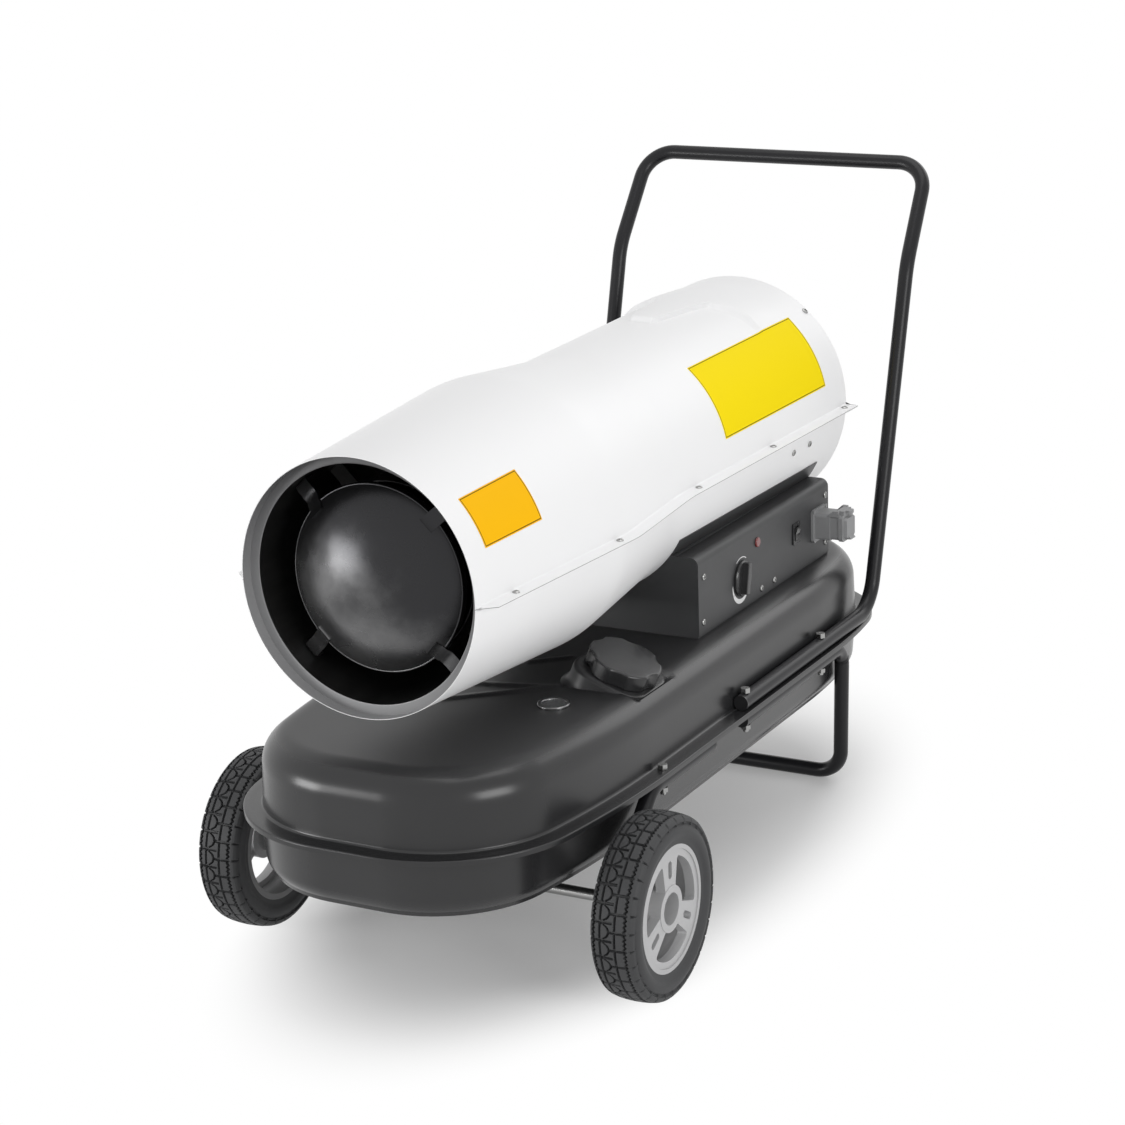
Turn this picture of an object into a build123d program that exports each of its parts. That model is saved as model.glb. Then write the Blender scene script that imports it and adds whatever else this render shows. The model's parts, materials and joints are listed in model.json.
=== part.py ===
from build123d import *
import os
from math import acos, atan2, cos, hypot, pi, radians, sin, sqrt, tan

# Forced air heater on wheels: a pressed fuel tank with a bent handle, a rear leg and two
# wheels carries a sheet barrel with a burner at its front end and a fan at its rear end.
# Millimetres. X points to the side with the controls, Y from the outlet to the fan end
# and Z up. While modelling, Y is counted from the axle; the finished heater is set down
# with the middle of its footprint on the origin.

# ---- fits ----
RUN = 0.06          # radial clearance of a running fit
GAP = 0.3           # air between pieces that move past each other
HOLE = 0.3          # radial clearance of a screw in its hole

# ---- wheels and axle ----
WHEEL_R = 127.0     # 10 inch wheel
TYRE_HALF = 33.6
CROWN_DROP = 3.6    # fall of the tread from its middle to its shoulder
SHOULDER_X = 27.0
TREAD_DEPTH = 4.5
TREAD_N = 26        # blocks round each shoulder
TREAD_GAP = 4.2     # width of the cross grooves
TREAD_RIB = 9.0     # half width of the middle rib
TREAD_LINE = 4.0    # width of the two grooves that run round
RIM_SEAT_R = 84.0
RIM_LIP = 2.8
RIM_LIP_W = 3.0
RIM_HALF = 28.0
RIM_WALL = 5.5
RIM_FACE = 13.0     # flat ring outside the windows
SPOKE_IN = 12.0     # spoke disc, from the middle of the wheel
SPOKE_OUT = 26.0
SPOKE_N = 3
SPOKE_W = (31.0, 45.0)      # at the hub and at the ring
SPOKE_ROUND = 4.0
SPOKE_SLOT_W = 10.0
SPOKE_SLOT_L = 25.0
HUB_R = 32.0
HUB_IN = 0.0
HUB_OUT = 26.8
HUB_FLOOR = 4.0
HUB_RECESS_R = 22.0
HUB_TUBE_R = 20.0
AXLE_R = 8.0
BUSH_WALL = 4.0
BUSH_FLANGE = 2.0
BUSH_FLANGE_R = 15.0
CLIP_T = 2.0
CLIP_R = 13.0
AXLE_STUB = 5.0     # axle past its clip
SPACER_R = 12.5
SPACER_L = 11.15    # between strut and wheel

# ---- bent tubes ----
TUBE_R = 11.4
TUBE_WALL = 1.5
PLUG_T = 3.0
PLUG_IN = 12.0
BOLT_R = 4.0
BOLT_HEAD_AF = 13.0
BOLT_HEAD_H = 7.5
NUT_H = 6.5
BOLT_TAIL = 4.0
BOLT_Y = (423.0, 695.0)
STRUT_BOLT_Y = 153.0
TUBE_START_Y = 410.0
HANDLE_REAR_Y = 891.0
HANDLE_REAR_R = 65.0
HANDLE_KNEE = (3.7, 1037.6, 534.3)        # out from the side run, y, height over the flange
HANDLE_KNEE_R = 130.0
HANDLE_TOP = (-2.1, 1139.5, 675.2)
HANDLE_TOP_R = 50.0
LEG_REAR_Y = 779.0
LEG_FOOT_IN = 23.7  # foot in from the side run
LEG_FOOT_Y = 826.0
LEG_BEND_R = 45.0
STRUT_END_Y = 300.0
STRUT_BEND_Y = 118.0
STRUT_BEND_R = 45.0
STRUT_PAST = 15.0   # strut past the axle

# ---- tank ----
FLANGE_Z = 257.0    # top of the flange
TANK_HALF = 262.0
TANK_NOSE_Y = -274.0
TANK_NOSE_END = 159.0     # widest from here
TANK_TAIL_START = 715.0   # to here
TANK_TAIL_Y = 1040.0
NOSE_R = 201.0
NOSE_SIDE_R = 1680.0
TAIL_R = 186.0
TAIL_SIDE_R = 1176.0
TAIL_END_R = 1107.0
SHEET = 1.5
LIP = 7.5
FLANGE_W = 26.0     # flange, from its edge to the tank's wall
UPPER_H = 101.0
UPPER_DRAFT = 2.5
UPPER_EDGE_R = 44.0
PAN_H = 91.0
PAN_DRAFT = 4.0
PAN_EDGE_R = 28.0
PAN_NOSE = 17.0     # the pan's wall at the nose, from the flange's edge
DRAIN_Y = 640.0
DRAIN_R = 8.0
DRAIN_AF = 22.0
DRAIN_H = 8.0
DRAIN_CUP_R = 24.0  # pressed cup that the plug's head sits up in
DRAIN_CUP = 11.0
RIBS = (((-26.0, 39.0), (92.0, 143.0)), ((-16.0, 112.0), (90.0, 141.0)),
        ((8.0, 222.0), (52.0, 262.0)))     # low ribs in the top, end to end
RIB_R = 9.0
RIB_UP = 2.5

# ---- filler, on a boss that leans outwards ----
BOSS_TILT = 22.0
BOSS_X = 160.5
BOSS_Y = 206.0
BOSS_Z = 112.9      # boss face over the flange at its middle
BOSS_L = 118.0      # across the lean
BOSS_W = 117.0
BOSS_CORNER = 36.0
BOSS_EDGE = 7.0
NECK_R = 38.0
NECK_WALL = 3.0
NECK_UP = 14.0
NECK_DOWN = 16.0
STRAINER_WALL = 1.2
STRAINER_L = 62.0
STRAINER_LIP = 6.0
STRAINER_SLOTS = 6
STRAINER_SLOT_W = 12.0
CAP_R = 52.5
CAP_H = 22.0
CAP_LIFT = 1.0      # cap over the boss
CAP_LOBES = 6
CAP_TURN = 18.0     # first lobe off the lean, in degrees
CAP_DENT = 4.0
CAP_DENT_R = 32.0
CAP_EDGE = 3.0
SEAL_T = 2.2
SEAL_PLUG = 7.0
SEAL_PIN_R = 7.0
SEAL_PIN_H = 3.0

# ---- level gauge ----
GAUGE_X = 126.0
GAUGE_Y = 74.0
GAUGE_R = 22.5
GAUGE_H = 4.5
GAUGE_SLEEVE_R = 17.5
GAUGE_WALL = 1.2
GAUGE_DEPTH = 9.0
LENS_T = 2.0
SPINDLE_R = 1.6
POINTER_L = 13.0
POINTER_W = 4.0
POINTER_T = 1.0
FLOAT_R = 19.0
FLOAT_H = 22.0
FLOAT_BORE = 4.0
FLOAT_FLOOR = 12.0  # lowest place of the float over the pan's floor
SPINDLE_FLOOR = 5.0

# ---- barrel ----
AXIS_UP = 228.5     # barrel axis over the tank's top
BARREL = ((-202.4, 173.3), (163.9, 197.1), (367.2, 177.2), (944.5, 186.5))   # y, radius
BARREL_WALL = 1.2
SEAM_DROP = 6.5     # seam under the axis
SEAM_W = 20.0
SEAM_START = -200.0
SEAM_SCREW_Y = (-122.0, 133.0, 412.0, 660.0, 921.0)
SEAM_SCREW_IN = 8.0
SCREW_R = 2.5
SCREW_HEAD_R = 5.0
SCREW_HEAD_H = 2.6
SCREW_TAIL = 5.0
LINER_GAP = 12.0    # air between the liner and the barrel's waist
LINER_WALL = 1.2
LINER_Y = (-183.0, 350.0)
LINER_LIP = 5.0
LINER_BRACKET_Y = (-60.0, 300.0)
CHAMBER_R = 118.0
CHAMBER_Y = (-110.0, 330.0)
CHAMBER_HOLES = 8
CHAMBER_HOLE_R = 11.0
CHAMBER_HOLE_Y = 120.0
BRACKET_Y = (-60.0, 250.0)
BRACKET_W = 22.0
BRACKET_L = 24.0
BRACKET_T = 1.5
DOME_R = 126.0
DOME_Y = -150.0
DOME_RISE = 44.0
DOME_T = 1.8
TAB_W = 22.0
TAB_L = 20.0
TAB_BACK = 10.0
TAB_LAP = 12.0      # tab's lap on the dome's face
HEAD_T = 3.0
HEAD_SLOTS = 8
HEAD_SLOT_R = (38.0, 62.0)
HOLDER_R = 22.0
HOLDER_L = 62.0
NOZZLE_R = 8.0
NOZZLE_L = 20.0
ELECTRODE_R = 4.5
ELECTRODE_X = 14.0
ELECTRODE_Z = 31.0
SENSOR_R = 9.0
SENSOR_X = 52.0
SENSOR_Z = -60.0

# ---- fan end ----
FAN_ROOM = 10.0     # between the blades' tips and the barrel's waist
FAN_CLEAR = 17.0    # between the hub and the motor
FAN_BLADES = 5
FAN_HUB_R = 30.0
FAN_HUB_L = 30.0
BLADE_T = 2.2
BLADE_CHORD = (62.0, 96.0)      # at the root and at the tip
BLADE_PITCH_DEG = (42.0, 22.0)
BLADE_ROOT_SHARE = 0.7      # of the root's chord that meets the hub
BLADE_BURY = 4.0
SHAFT_R = 6.0
MOTOR_R = 43.0
MOTOR_Y = (722.0, 850.0)
MOTOR_BAND = 3.0
PUMP_R = 48.0
PUMP_L = 46.0
ROTOR_R = 27.0
ROTOR_L = 22.0
PUMP_WALL = 8.0
PLATE_IN = (23.0, 20.0)     # motor's plate in from the motor's ends
PLATE_T = 1.5
PLATE_TAB = 16.0
PLATE_SCREW_IN = (12.0, 15.0)   # its screws in from its edges
PLATE_SCREW_UP = 4.0
PLATE_HOLE = (70.0, 150.0)      # windows for the air, x
PLATE_HOLE_IN = 18.0
GUARD_Y = 928.0
GUARD_RIM = 13.0
GUARD_T = 1.2
GUARD_RINGS = ((52.0, 84.0), (92.0, 124.0), (132.0, 164.0))
GUARD_SLOTS = 8
GUARD_BAR = 9.0
GUARD_SCREW_DEG = 49.0

# ---- control box between tank and barrel ----
BOX_Y = (405.0, 875.0)
BOX_H = 120.0
PANEL_X = 185.0
COVER_T = 1.5
COVER_FOLD = 12.0
LEDGE_IN = 2.5      # inner wall in from where the saddle meets the top
SADDLE_UP = 25.0
FOOT_W = 16.0
RAIL_H = 26.0
TAB_IN = 30.0
COVER_SCREWS = ((423.0, 88.0), (420.0, 21.0), (621.0, 14.0), (667.0, 14.0),
                (862.0, 97.0), (862.0, 21.0))      # y, height over the tank
KNOB = (551.0, 50.0)
KNOB_R = 27.0
KNOB_SKIRT = 5.0
KNOB_GRIP_H = 8.0
KNOB_TURN = 12.0    # grip off the upright, in degrees
KNOB_GRIP_W = 13.0
KNOB_SHAFT_R = 3.0
STAT_A = 44.0
STAT_D = 24.0
STAT_BUSH_R = 6.0
LAMP = (607.0, 90.0)
LAMP_R = 8.0
LAMP_H = 3.0
LAMP_STEM_R = 5.5
LAMP_STEM_L = 16.0
SWITCH = (748.0, 66.0)
SWITCH_W = 20.0
SWITCH_L = 28.0
SWITCH_RIM = 2.5
SWITCH_H = 2.5
SWITCH_D = 18.0
SWITCH_TILT = 9.0
SWITCH_PIN_R = 1.5
SWITCH_PIN_L = 1.3
INLET = (833.0, 59.0)
INLET_A = 52.0
INLET_FLANGE = 4.0
INLET_BODY = 42.0
INLET_OUT = 43.0
INLET_WALL = 3.0
INLET_BACK = 14.0
INLET_CORNER = 6.0
INLET_NECK = 1.5    # step down to the mouth
INLET_NECK_L = 14.0
INLET_SCREW_R = 3.2
INLET_SCREW_H = 1.6
PIN_R = 2.4
PIN_L = 20.0
PIN_PITCH = 7.5
LID_T = 7.0
LID_CROWN = 5.5
LID_CROWN_A = 34.0
LID_TAB = 4.0       # finger lip at the foot
LID_LOOP = 9.0      # finger piece at the top
LID_PIN_R = 2.2
LID_EAR = 6.0
LID_EAR_L = 15.0    # the ears run back along the body
BOARD = (600.0, 700.0, 34.0, 96.0)     # y, y, heights over the tank
BOARD_T = 1.6
BOARD_OFF = 5.0
COIL = (470.0, 540.0, -50.0, 30.0)     # y, y, x, x
COIL_H = 40.0
LINE_R = 3.0
FUEL_LINE_Y = 440.0
AIR_LINE_DEG = -68.0

# ---- places that follow ----
REACH = 2 * BARREL[1][1]    # well past the barrel
AXLE_Z = WHEEL_R
TANK_TOP_Z = FLANGE_Z + UPPER_H
PAN_Z = FLANGE_Z - PAN_H
UNDER_Z = FLANGE_Z - 2 * SHEET
TUBE_X = TANK_HALF - FLANGE_W + TUBE_R + GAP
WHEEL_X = TUBE_X + TUBE_R + SPACER_L + GAP + BUSH_FLANGE + TYRE_HALF
HANDLE_Z = FLANGE_Z + TUBE_R
LEG_Z = UNDER_Z - TUBE_R
AXIS_Z = TANK_TOP_Z + AXIS_UP
SEAM_Z = AXIS_Z - SEAM_DROP
BOSS_N = Vector(sin(radians(BOSS_TILT)), 0, cos(radians(BOSS_TILT)))
BOSS_P = Vector(BOSS_X, BOSS_Y, FLANGE_Z + BOSS_Z)
BOX_Z = TANK_TOP_Z + BOX_H
PLATE_Z = AXIS_Z - MOTOR_R
PLATE_Y = (MOTOR_Y[0] + PLATE_IN[0], MOTOR_Y[1] - PLATE_IN[1])
PLATE_SCREW_Y = (PLATE_Y[0] + PLATE_SCREW_IN[0], PLATE_Y[1] - PLATE_SCREW_IN[1])
LINER_R = BARREL[2][1] - BARREL_WALL - LINER_GAP
FAN_R = BARREL[2][1] - BARREL_WALL - FAN_ROOM
FAN_Y = MOTOR_Y[0] - FAN_CLEAR - FAN_HUB_L / 2
LEDGE_X = sqrt((BARREL[-1][1] + COVER_T) ** 2 - (AXIS_Z - BOX_Z) ** 2) - LEDGE_IN
BARREL_AXIS = Axis((0, 0, AXIS_Z), (0, 1, 0))
AXLE_AXIS = Axis((0, 0, AXLE_Z), (1, 0, 0))


# ---- general shapes ----
def slab(x0, x1, y0, y1, z0, z1):
    """A plain block between two corners."""
    centre = Pos((x0 + x1) / 2, (y0 + y1) / 2, (z0 + z1) / 2)
    return centre * Box(abs(x1 - x0), abs(y1 - y0), abs(z1 - z0))


def rod(p, q, r, bore=0.0):
    """A round bar or sleeve from p to q."""
    p, q = Vector(*p), Vector(*q)
    face = Circle(r) - Circle(bore) if bore else Circle(r)
    return extrude(Plane(origin=p, z_dir=q - p) * face, (q - p).length)


def hexagon(p, q, across):
    """A hexagonal bar from p to q."""
    p, q = Vector(*p), Vector(*q)
    face = RegularPolygon(across / 2, 6, major_radius=False)
    return extrude(Plane(origin=p, z_dir=q - p) * face, (q - p).length)


def turned(points):
    """A body turned about the barrel's axis from (y, radius) points."""
    face = make_face(Polyline(*[(0, y, AXIS_Z + r) for y, r in points], close=True))
    return revolve(face, BARREL_AXIS, 360)


def bent_tube(points, radii):
    """A round tube of the frame along straight runs joined by bends."""
    path = FilletPolyline(*points, radius=radii)
    start = Plane(origin=path @ 0, z_dir=path % 0)
    return sweep(start * (Circle(TUBE_R) - Circle(TUBE_R - TUBE_WALL)), path=path)


def mirrored(shape):
    """The same piece on the other side."""
    return mirror(shape, about=Plane.YZ)


def both_sides(shapes):
    """Separate pieces, each with its twin on the other side."""
    return [s for shape in shapes for s in (shape, mirrored(shape))]


def barrel_r(y):
    """Outer radius of the barrel at y."""
    for (y0, r0), (y1, r1) in zip(BARREL, BARREL[1:]):
        if y <= y1:
            return r0 + (r1 - r0) * (y - y0) / (y1 - y0)
    return BARREL[-1][1]


def barrel_skin(y0, y1, out, depth):
    """A turned sheet that follows the barrel at a distance from its outer face."""
    ys = [y0] + [y for y, r in BARREL if y0 < y < y1] + [y1]
    outer = [(y, barrel_r(y) + out) for y in ys]
    inner = [(y, barrel_r(y) + out - depth) for y in reversed(ys)]
    return turned(outer + inner)


def barrel_core(y0, y1, out):
    """The full round body inside the barrel's outer face moved by out."""
    ys = [y0] + [y for y, r in BARREL if y0 < y < y1] + [y1]
    return turned([(y0, 0)] + [(y, barrel_r(y) + out) for y in ys] + [(y1, 0)])


def spoke_dir(degrees_up):
    """A direction across the barrel, counted from +X towards +Z."""
    a = radians(degrees_up)
    return Vector(cos(a), 0, sin(a))


def radial(degrees_up, y, r):
    """A point off the barrel's axis."""
    return Vector(0, y, AXIS_Z) + spoke_dir(degrees_up) * r


# ---- tank ----
def plan_face(side, nose, z):
    """The tank's plan at height z, drawn in from its edge: straight nose, corner arcs, long
    side arcs, and a tail of three arcs. Every arc keeps its centre, so walls stay even."""
    half = TANK_HALF - side
    y0, y1 = TANK_NOSE_Y + nose, TANK_TAIL_Y - side
    r2, r3 = NOSE_R - side, NOSE_SIDE_R - side
    turn = acos((TANK_NOSE_END - y0 - r2) / (r3 - r2))
    flat = half - r2 * sin(turn) - r3 * (1 - sin(turn))
    q1, q2, q3 = TAIL_END_R - side, TAIL_R - side, TAIL_SIDE_R - side
    c3 = Vector(half - q3, TANK_TAIL_START)
    c1 = Vector(0, y1 - q1)
    a, b, d = q1 - q2, q3 - q2, (c3 - c1).length
    along = (a * a - b * b + d * d) / (2 * d)
    across = sqrt(a * a - along * along)
    u = (c3 - c1) / d
    c2 = c1 + u * along + Vector(u.Y, -u.X) * across
    if c2.Y < c1.Y:
        c2 = c1 + u * along - Vector(u.Y, -u.X) * across
    n2 = Vector(flat, y0 + r2)
    n3 = Vector(half - r3, TANK_NOSE_END)

    def arc(c, r, a0, a1):
        pts = [c + Vector(cos(t), sin(t)) * r for t in (a0, (a0 + a1) / 2, a1)]
        return [(p.X, p.Y) for p in pts]

    side_1 = atan2((n2 - n3).Y, (n2 - n3).X)
    side_2 = atan2((c2 - c3).Y, (c2 - c3).X)
    side_3 = atan2((c2 - c1).Y, (c2 - c1).X)
    arcs = [arc(n2, r2, -pi / 2, side_1), arc(n3, r3, side_1, 0),
            arc(c3, q3, 0, side_2), arc(c2, q2, side_2, side_3)]
    end = arc(c1, q1, side_3, pi - side_3)
    edges = [Line((-flat, y0), (flat, y0)), ThreePointArc(*end),
             Line((half, TANK_NOSE_END), (half, TANK_TAIL_START)),
             Line((-half, TANK_NOSE_END), (-half, TANK_TAIL_START))]
    for three in arcs:
        edges.append(ThreePointArc(*three))
        edges.append(ThreePointArc(*[(-x, y) for x, y in three]))
    return Pos(0, 0, z) * make_face(edges)


def boss_body(inset):
    """The filler boss as a block square to its leaning face."""
    face = Plane(origin=BOSS_P - BOSS_N * inset, x_dir=(cos(radians(BOSS_TILT)), 0,
                 -sin(radians(BOSS_TILT))), z_dir=BOSS_N)
    shape = RectangleRounded(BOSS_L - 2 * inset, BOSS_W - 2 * inset, BOSS_CORNER - inset)
    body = extrude(face * shape, -(BOSS_Z - inset) * 0.8)
    rim = [e for e in body.edges() if abs((e @ 0.5 - BOSS_P).dot(BOSS_N) + inset) < 0.01]
    return fillet(rim, BOSS_EDGE - inset)


def boss_press(inset):
    """What the boss presses away where its face dips under the tank's shoulder."""
    shape = RectangleRounded(BOSS_L + 2 * inset, BOSS_W + 2 * inset, BOSS_CORNER + inset)
    return extrude(on_boss(-inset) * shape, UPPER_EDGE_R)


def upper_body(inset):
    """The upper half as a solid, its wall and top drawn in by inset."""
    wall = FLANGE_W + inset
    body = extrude(plan_face(wall, wall, FLANGE_Z), UPPER_H - inset, taper=UPPER_DRAFT)
    return fillet(body.edges().group_by(Axis.Z)[-1], UPPER_EDGE_R - inset)


def ribs(inset):
    """Low round ribs pressed up in the top."""
    out = []
    r, z = RIB_R - inset, TANK_TOP_Z + RIB_UP - RIB_R
    for (xa, ya), (xb, yb) in RIBS:
        out += [rod((xa, ya, z), (xb, yb, z), r), Pos(xa, ya, z) * Sphere(r),
                Pos(xb, yb, z) * Sphere(r)]
    return out


def frame_holes():
    """Holes for the bolts that hold handle, leg and struts to the flange."""
    low, high = LEG_Z - 2 * TUBE_R, HANDLE_Z + 2 * TUBE_R
    spots = [rod((TUBE_X, y, low), (TUBE_X, y, high), BOLT_R + HOLE)
             for y in (*BOLT_Y, STRUT_BOLT_Y)]
    return both_sides(spots)


def tank_upper_shell():
    flange = extrude(plan_face(0, 0, FLANGE_Z - LIP), LIP)
    flange -= extrude(plan_face(SHEET, SHEET, FLANGE_Z - LIP), LIP - SHEET)
    shell = flange + (upper_body(0) - boss_press(0)) + boss_body(0) + ribs(0)
    hollow = (upper_body(SHEET) - boss_press(SHEET)) + boss_body(SHEET) + ribs(SHEET)
    shell -= hollow
    inner = FLANGE_W + SHEET
    shell -= extrude(plan_face(inner, inner, FLANGE_Z - LIP), LIP)
    shell -= rod(BOSS_P - BOSS_N * 4 * SHEET, BOSS_P + BOSS_N, NECK_R)
    shell -= rod((GAUGE_X, GAUGE_Y, TANK_TOP_Z - UPPER_EDGE_R),
                 (GAUGE_X, GAUGE_Y, TANK_TOP_Z + 1), GAUGE_SLEEVE_R)
    shell -= rod((0, FUEL_LINE_Y, TANK_TOP_Z - UPPER_EDGE_R),
                 (0, FUEL_LINE_Y, TANK_TOP_Z + 1), LINE_R + HOLE)
    return shell - frame_holes()


def pan_body(inset):
    """The lower half as a solid."""
    top = UNDER_Z + SHEET
    face = plan_face(FLANGE_W + inset, PAN_NOSE + inset, top)
    body = extrude(face, top - PAN_Z - inset, dir=(0, 0, -1), taper=PAN_DRAFT)
    return fillet(body.edges().group_by(Axis.Z)[0], PAN_EDGE_R - inset)


def tank_lower_pan():
    edge = SHEET + GAP
    flange = extrude(plan_face(edge, edge, UNDER_Z), SHEET)
    pan = flange + pan_body(0) - pan_body(SHEET)
    cup = PAN_Z + DRAIN_CUP
    pan += rod((0, DRAIN_Y, PAN_Z), (0, DRAIN_Y, cup + SHEET), DRAIN_CUP_R + SHEET)
    pan -= rod((0, DRAIN_Y, PAN_Z - 1), (0, DRAIN_Y, cup), DRAIN_CUP_R)
    pan -= rod((0, DRAIN_Y, cup - 1), (0, DRAIN_Y, cup + 2 * SHEET), DRAIN_R)
    return pan - frame_holes()


def drain_plug():
    seat = PAN_Z + DRAIN_CUP
    head = hexagon((0, DRAIN_Y, seat - DRAIN_H), (0, DRAIN_Y, seat), DRAIN_AF)
    return head + rod((0, DRAIN_Y, seat), (0, DRAIN_Y, seat + 4 * SHEET), DRAIN_R)


# ---- filler and gauge ----
def on_boss(height):
    """The plane across the filler's axis at a height over the boss."""
    x_dir = (cos(radians(BOSS_TILT)), 0, -sin(radians(BOSS_TILT)))
    return Plane(origin=BOSS_P + BOSS_N * height, x_dir=x_dir, z_dir=BOSS_N)


def disc(low, high, r, bore=0.0):
    """A round body on the filler's axis between two heights over the boss."""
    face = Circle(r) - Circle(bore) if bore else Circle(r)
    return extrude(on_boss(low) * face, high - low)


def filler_neck():
    neck = disc(-NECK_DOWN, NECK_UP, NECK_R, NECK_R - NECK_WALL)
    return neck + disc(-SHEET - NECK_WALL, -SHEET, NECK_R + NECK_WALL, NECK_R - NECK_WALL)


def filler_strainer():
    r = NECK_R - NECK_WALL
    low = NECK_UP - STRAINER_L
    lip = disc(NECK_UP - STRAINER_LIP, NECK_UP, r, r - STRAINER_WALL)
    cup = disc(low, NECK_UP - STRAINER_LIP, r - STRAINER_WALL)
    cup -= disc(low + STRAINER_WALL, NECK_UP, r - 2 * STRAINER_WALL)
    shelf = disc(NECK_UP - STRAINER_LIP - STRAINER_WALL, NECK_UP - STRAINER_LIP, r,
                 r - 2 * STRAINER_WALL)
    cup = lip + cup + shelf
    mid = low + STRAINER_L * 0.38
    window = Box(2 * r + 4, STRAINER_SLOT_W, STRAINER_L * 0.4)
    for i in range(STRAINER_SLOTS // 2):
        cup -= on_boss(mid).location * Rot(0, 0, 360 / STRAINER_SLOTS * i) * window
    return cup


def fuel_cap_seal():
    r = NECK_R - NECK_WALL - 2 * STRAINER_WALL - GAP
    top = NECK_UP + SEAL_T
    seal = disc(NECK_UP + RUN, top, NECK_R) + disc(NECK_UP - SEAL_PLUG, top, r)
    return seal + disc(top, top + SEAL_PIN_H, SEAL_PIN_R)


def fuel_cap():
    outline = Circle(CAP_R)
    reach = CAP_R + CAP_DENT_R - CAP_DENT
    for i in range(CAP_LOBES):
        turn = Rot(0, 0, CAP_TURN + 360 / CAP_LOBES * (i + 0.5))
        outline -= turn * Pos(reach, 0) * Circle(CAP_DENT_R)
    cap = extrude(on_boss(CAP_LIFT) * outline, CAP_H)
    top = CAP_LIFT + CAP_H
    rim = [e for e in cap.edges() if abs((e @ 0.5 - BOSS_P).dot(BOSS_N) - top) < 0.01]
    cap = fillet(rim, CAP_EDGE)
    seat = NECK_UP + SEAL_T + GAP
    cap -= disc(0, seat, NECK_R + GAP)
    return cap - disc(0, seat + SEAL_PIN_H, SEAL_PIN_R + RUN)


def stand(x, y, z0, z1, r, bore=0.0):
    return rod((x, y, z0), (x, y, z1), r, bore)


def gauge_bezel():
    z = TANK_TOP_Z
    x, y, wall = GAUGE_X, GAUGE_Y, GAUGE_WALL
    ring = stand(x, y, z, z + GAUGE_H, GAUGE_R, GAUGE_SLEEVE_R - wall)
    ring = chamfer(ring.edges().filter_by(GeomType.CIRCLE).sort_by(Axis.Z)[-2:], wall)
    cup = stand(x, y, z - GAUGE_DEPTH, z, GAUGE_SLEEVE_R, GAUGE_SLEEVE_R - wall)
    floor = stand(x, y, z - GAUGE_DEPTH, z - GAUGE_DEPTH + wall, GAUGE_SLEEVE_R,
                  SPINDLE_R + RUN)
    return ring + cup + floor


def gauge_lens():
    z = TANK_TOP_Z + GAUGE_H - GAUGE_WALL - LENS_T
    return stand(GAUGE_X, GAUGE_Y, z, z + LENS_T, GAUGE_SLEEVE_R - GAUGE_WALL)


def gauge_pointer():
    dial = TANK_TOP_Z - GAUGE_DEPTH + GAUGE_WALL
    low = dial + GAP
    spindle = stand(GAUGE_X, GAUGE_Y, PAN_Z + SHEET + SPINDLE_FLOOR, low, SPINDLE_R)
    hub = stand(GAUGE_X, GAUGE_Y, low, low + 2 * POINTER_T, POINTER_W)
    hand = slab(GAUGE_X, GAUGE_X + POINTER_L, GAUGE_Y - POINTER_W / 2,
                GAUGE_Y + POINTER_W / 2, low, low + POINTER_T)
    return spindle + hub + hand


def gauge_float():
    low = PAN_Z + SHEET + FLOAT_FLOOR
    return stand(GAUGE_X, GAUGE_Y, low, low + FLOAT_H, FLOAT_R, FLOAT_BORE)


# ---- frame ----
def handle_tube():
    kx, ky, kz = HANDLE_KNEE
    tx, ty, tz = HANDLE_TOP
    right = [(TUBE_X, TUBE_START_Y, HANDLE_Z), (TUBE_X, HANDLE_REAR_Y, HANDLE_Z),
             (TUBE_X + kx, ky, FLANGE_Z + kz), (TUBE_X + tx, ty, FLANGE_Z + tz)]
    points = right + [(-x, y, z) for x, y, z in reversed(right)]
    radii = [HANDLE_REAR_R, HANDLE_KNEE_R, HANDLE_TOP_R]
    return bent_tube(points, radii + radii[::-1]) - frame_holes()


def rear_leg():
    right = [(TUBE_X, TUBE_START_Y, LEG_Z), (TUBE_X, LEG_REAR_Y, LEG_Z),
             (TUBE_X - LEG_FOOT_IN, LEG_FOOT_Y, TUBE_R)]
    points = right + [(-x, y, z) for x, y, z in reversed(right)]
    return bent_tube(points, [LEG_BEND_R] * 4) - frame_holes()


def strut_points():
    fall = Vector(0, -STRUT_BEND_Y, AXLE_Z - LEG_Z).normalized()
    end = Vector(TUBE_X, 0, AXLE_Z) + fall * STRUT_PAST
    return [Vector(TUBE_X, STRUT_END_Y, LEG_Z), Vector(TUBE_X, STRUT_BEND_Y, LEG_Z), end]


def axle_strut():
    strut = bent_tube(strut_points(), STRUT_BEND_R)
    reach = 2 * TUBE_R
    strut -= rod((TUBE_X - reach, 0, AXLE_Z), (TUBE_X + reach, 0, AXLE_Z), AXLE_R)
    return strut - frame_holes()


def frame_bolts():
    bolts = []
    for y, seat in [(y, HANDLE_Z + TUBE_R) for y in BOLT_Y] + [(STRUT_BOLT_Y, FLANGE_Z)]:
        head = hexagon((TUBE_X, y, seat), (TUBE_X, y, seat + BOLT_HEAD_H), BOLT_HEAD_AF)
        tip = LEG_Z - TUBE_R - NUT_H - BOLT_TAIL
        bolts.append(head + rod((TUBE_X, y, tip), (TUBE_X, y, seat), BOLT_R))
    return both_sides(bolts)


def frame_nuts():
    top = LEG_Z - TUBE_R
    nuts = [hexagon((TUBE_X, y, top - NUT_H), (TUBE_X, y, top), BOLT_HEAD_AF)
            - rod((TUBE_X, y, top - NUT_H), (TUBE_X, y, top), BOLT_R)
            for y in (*BOLT_Y, STRUT_BOLT_Y)]
    return both_sides(nuts)


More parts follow.
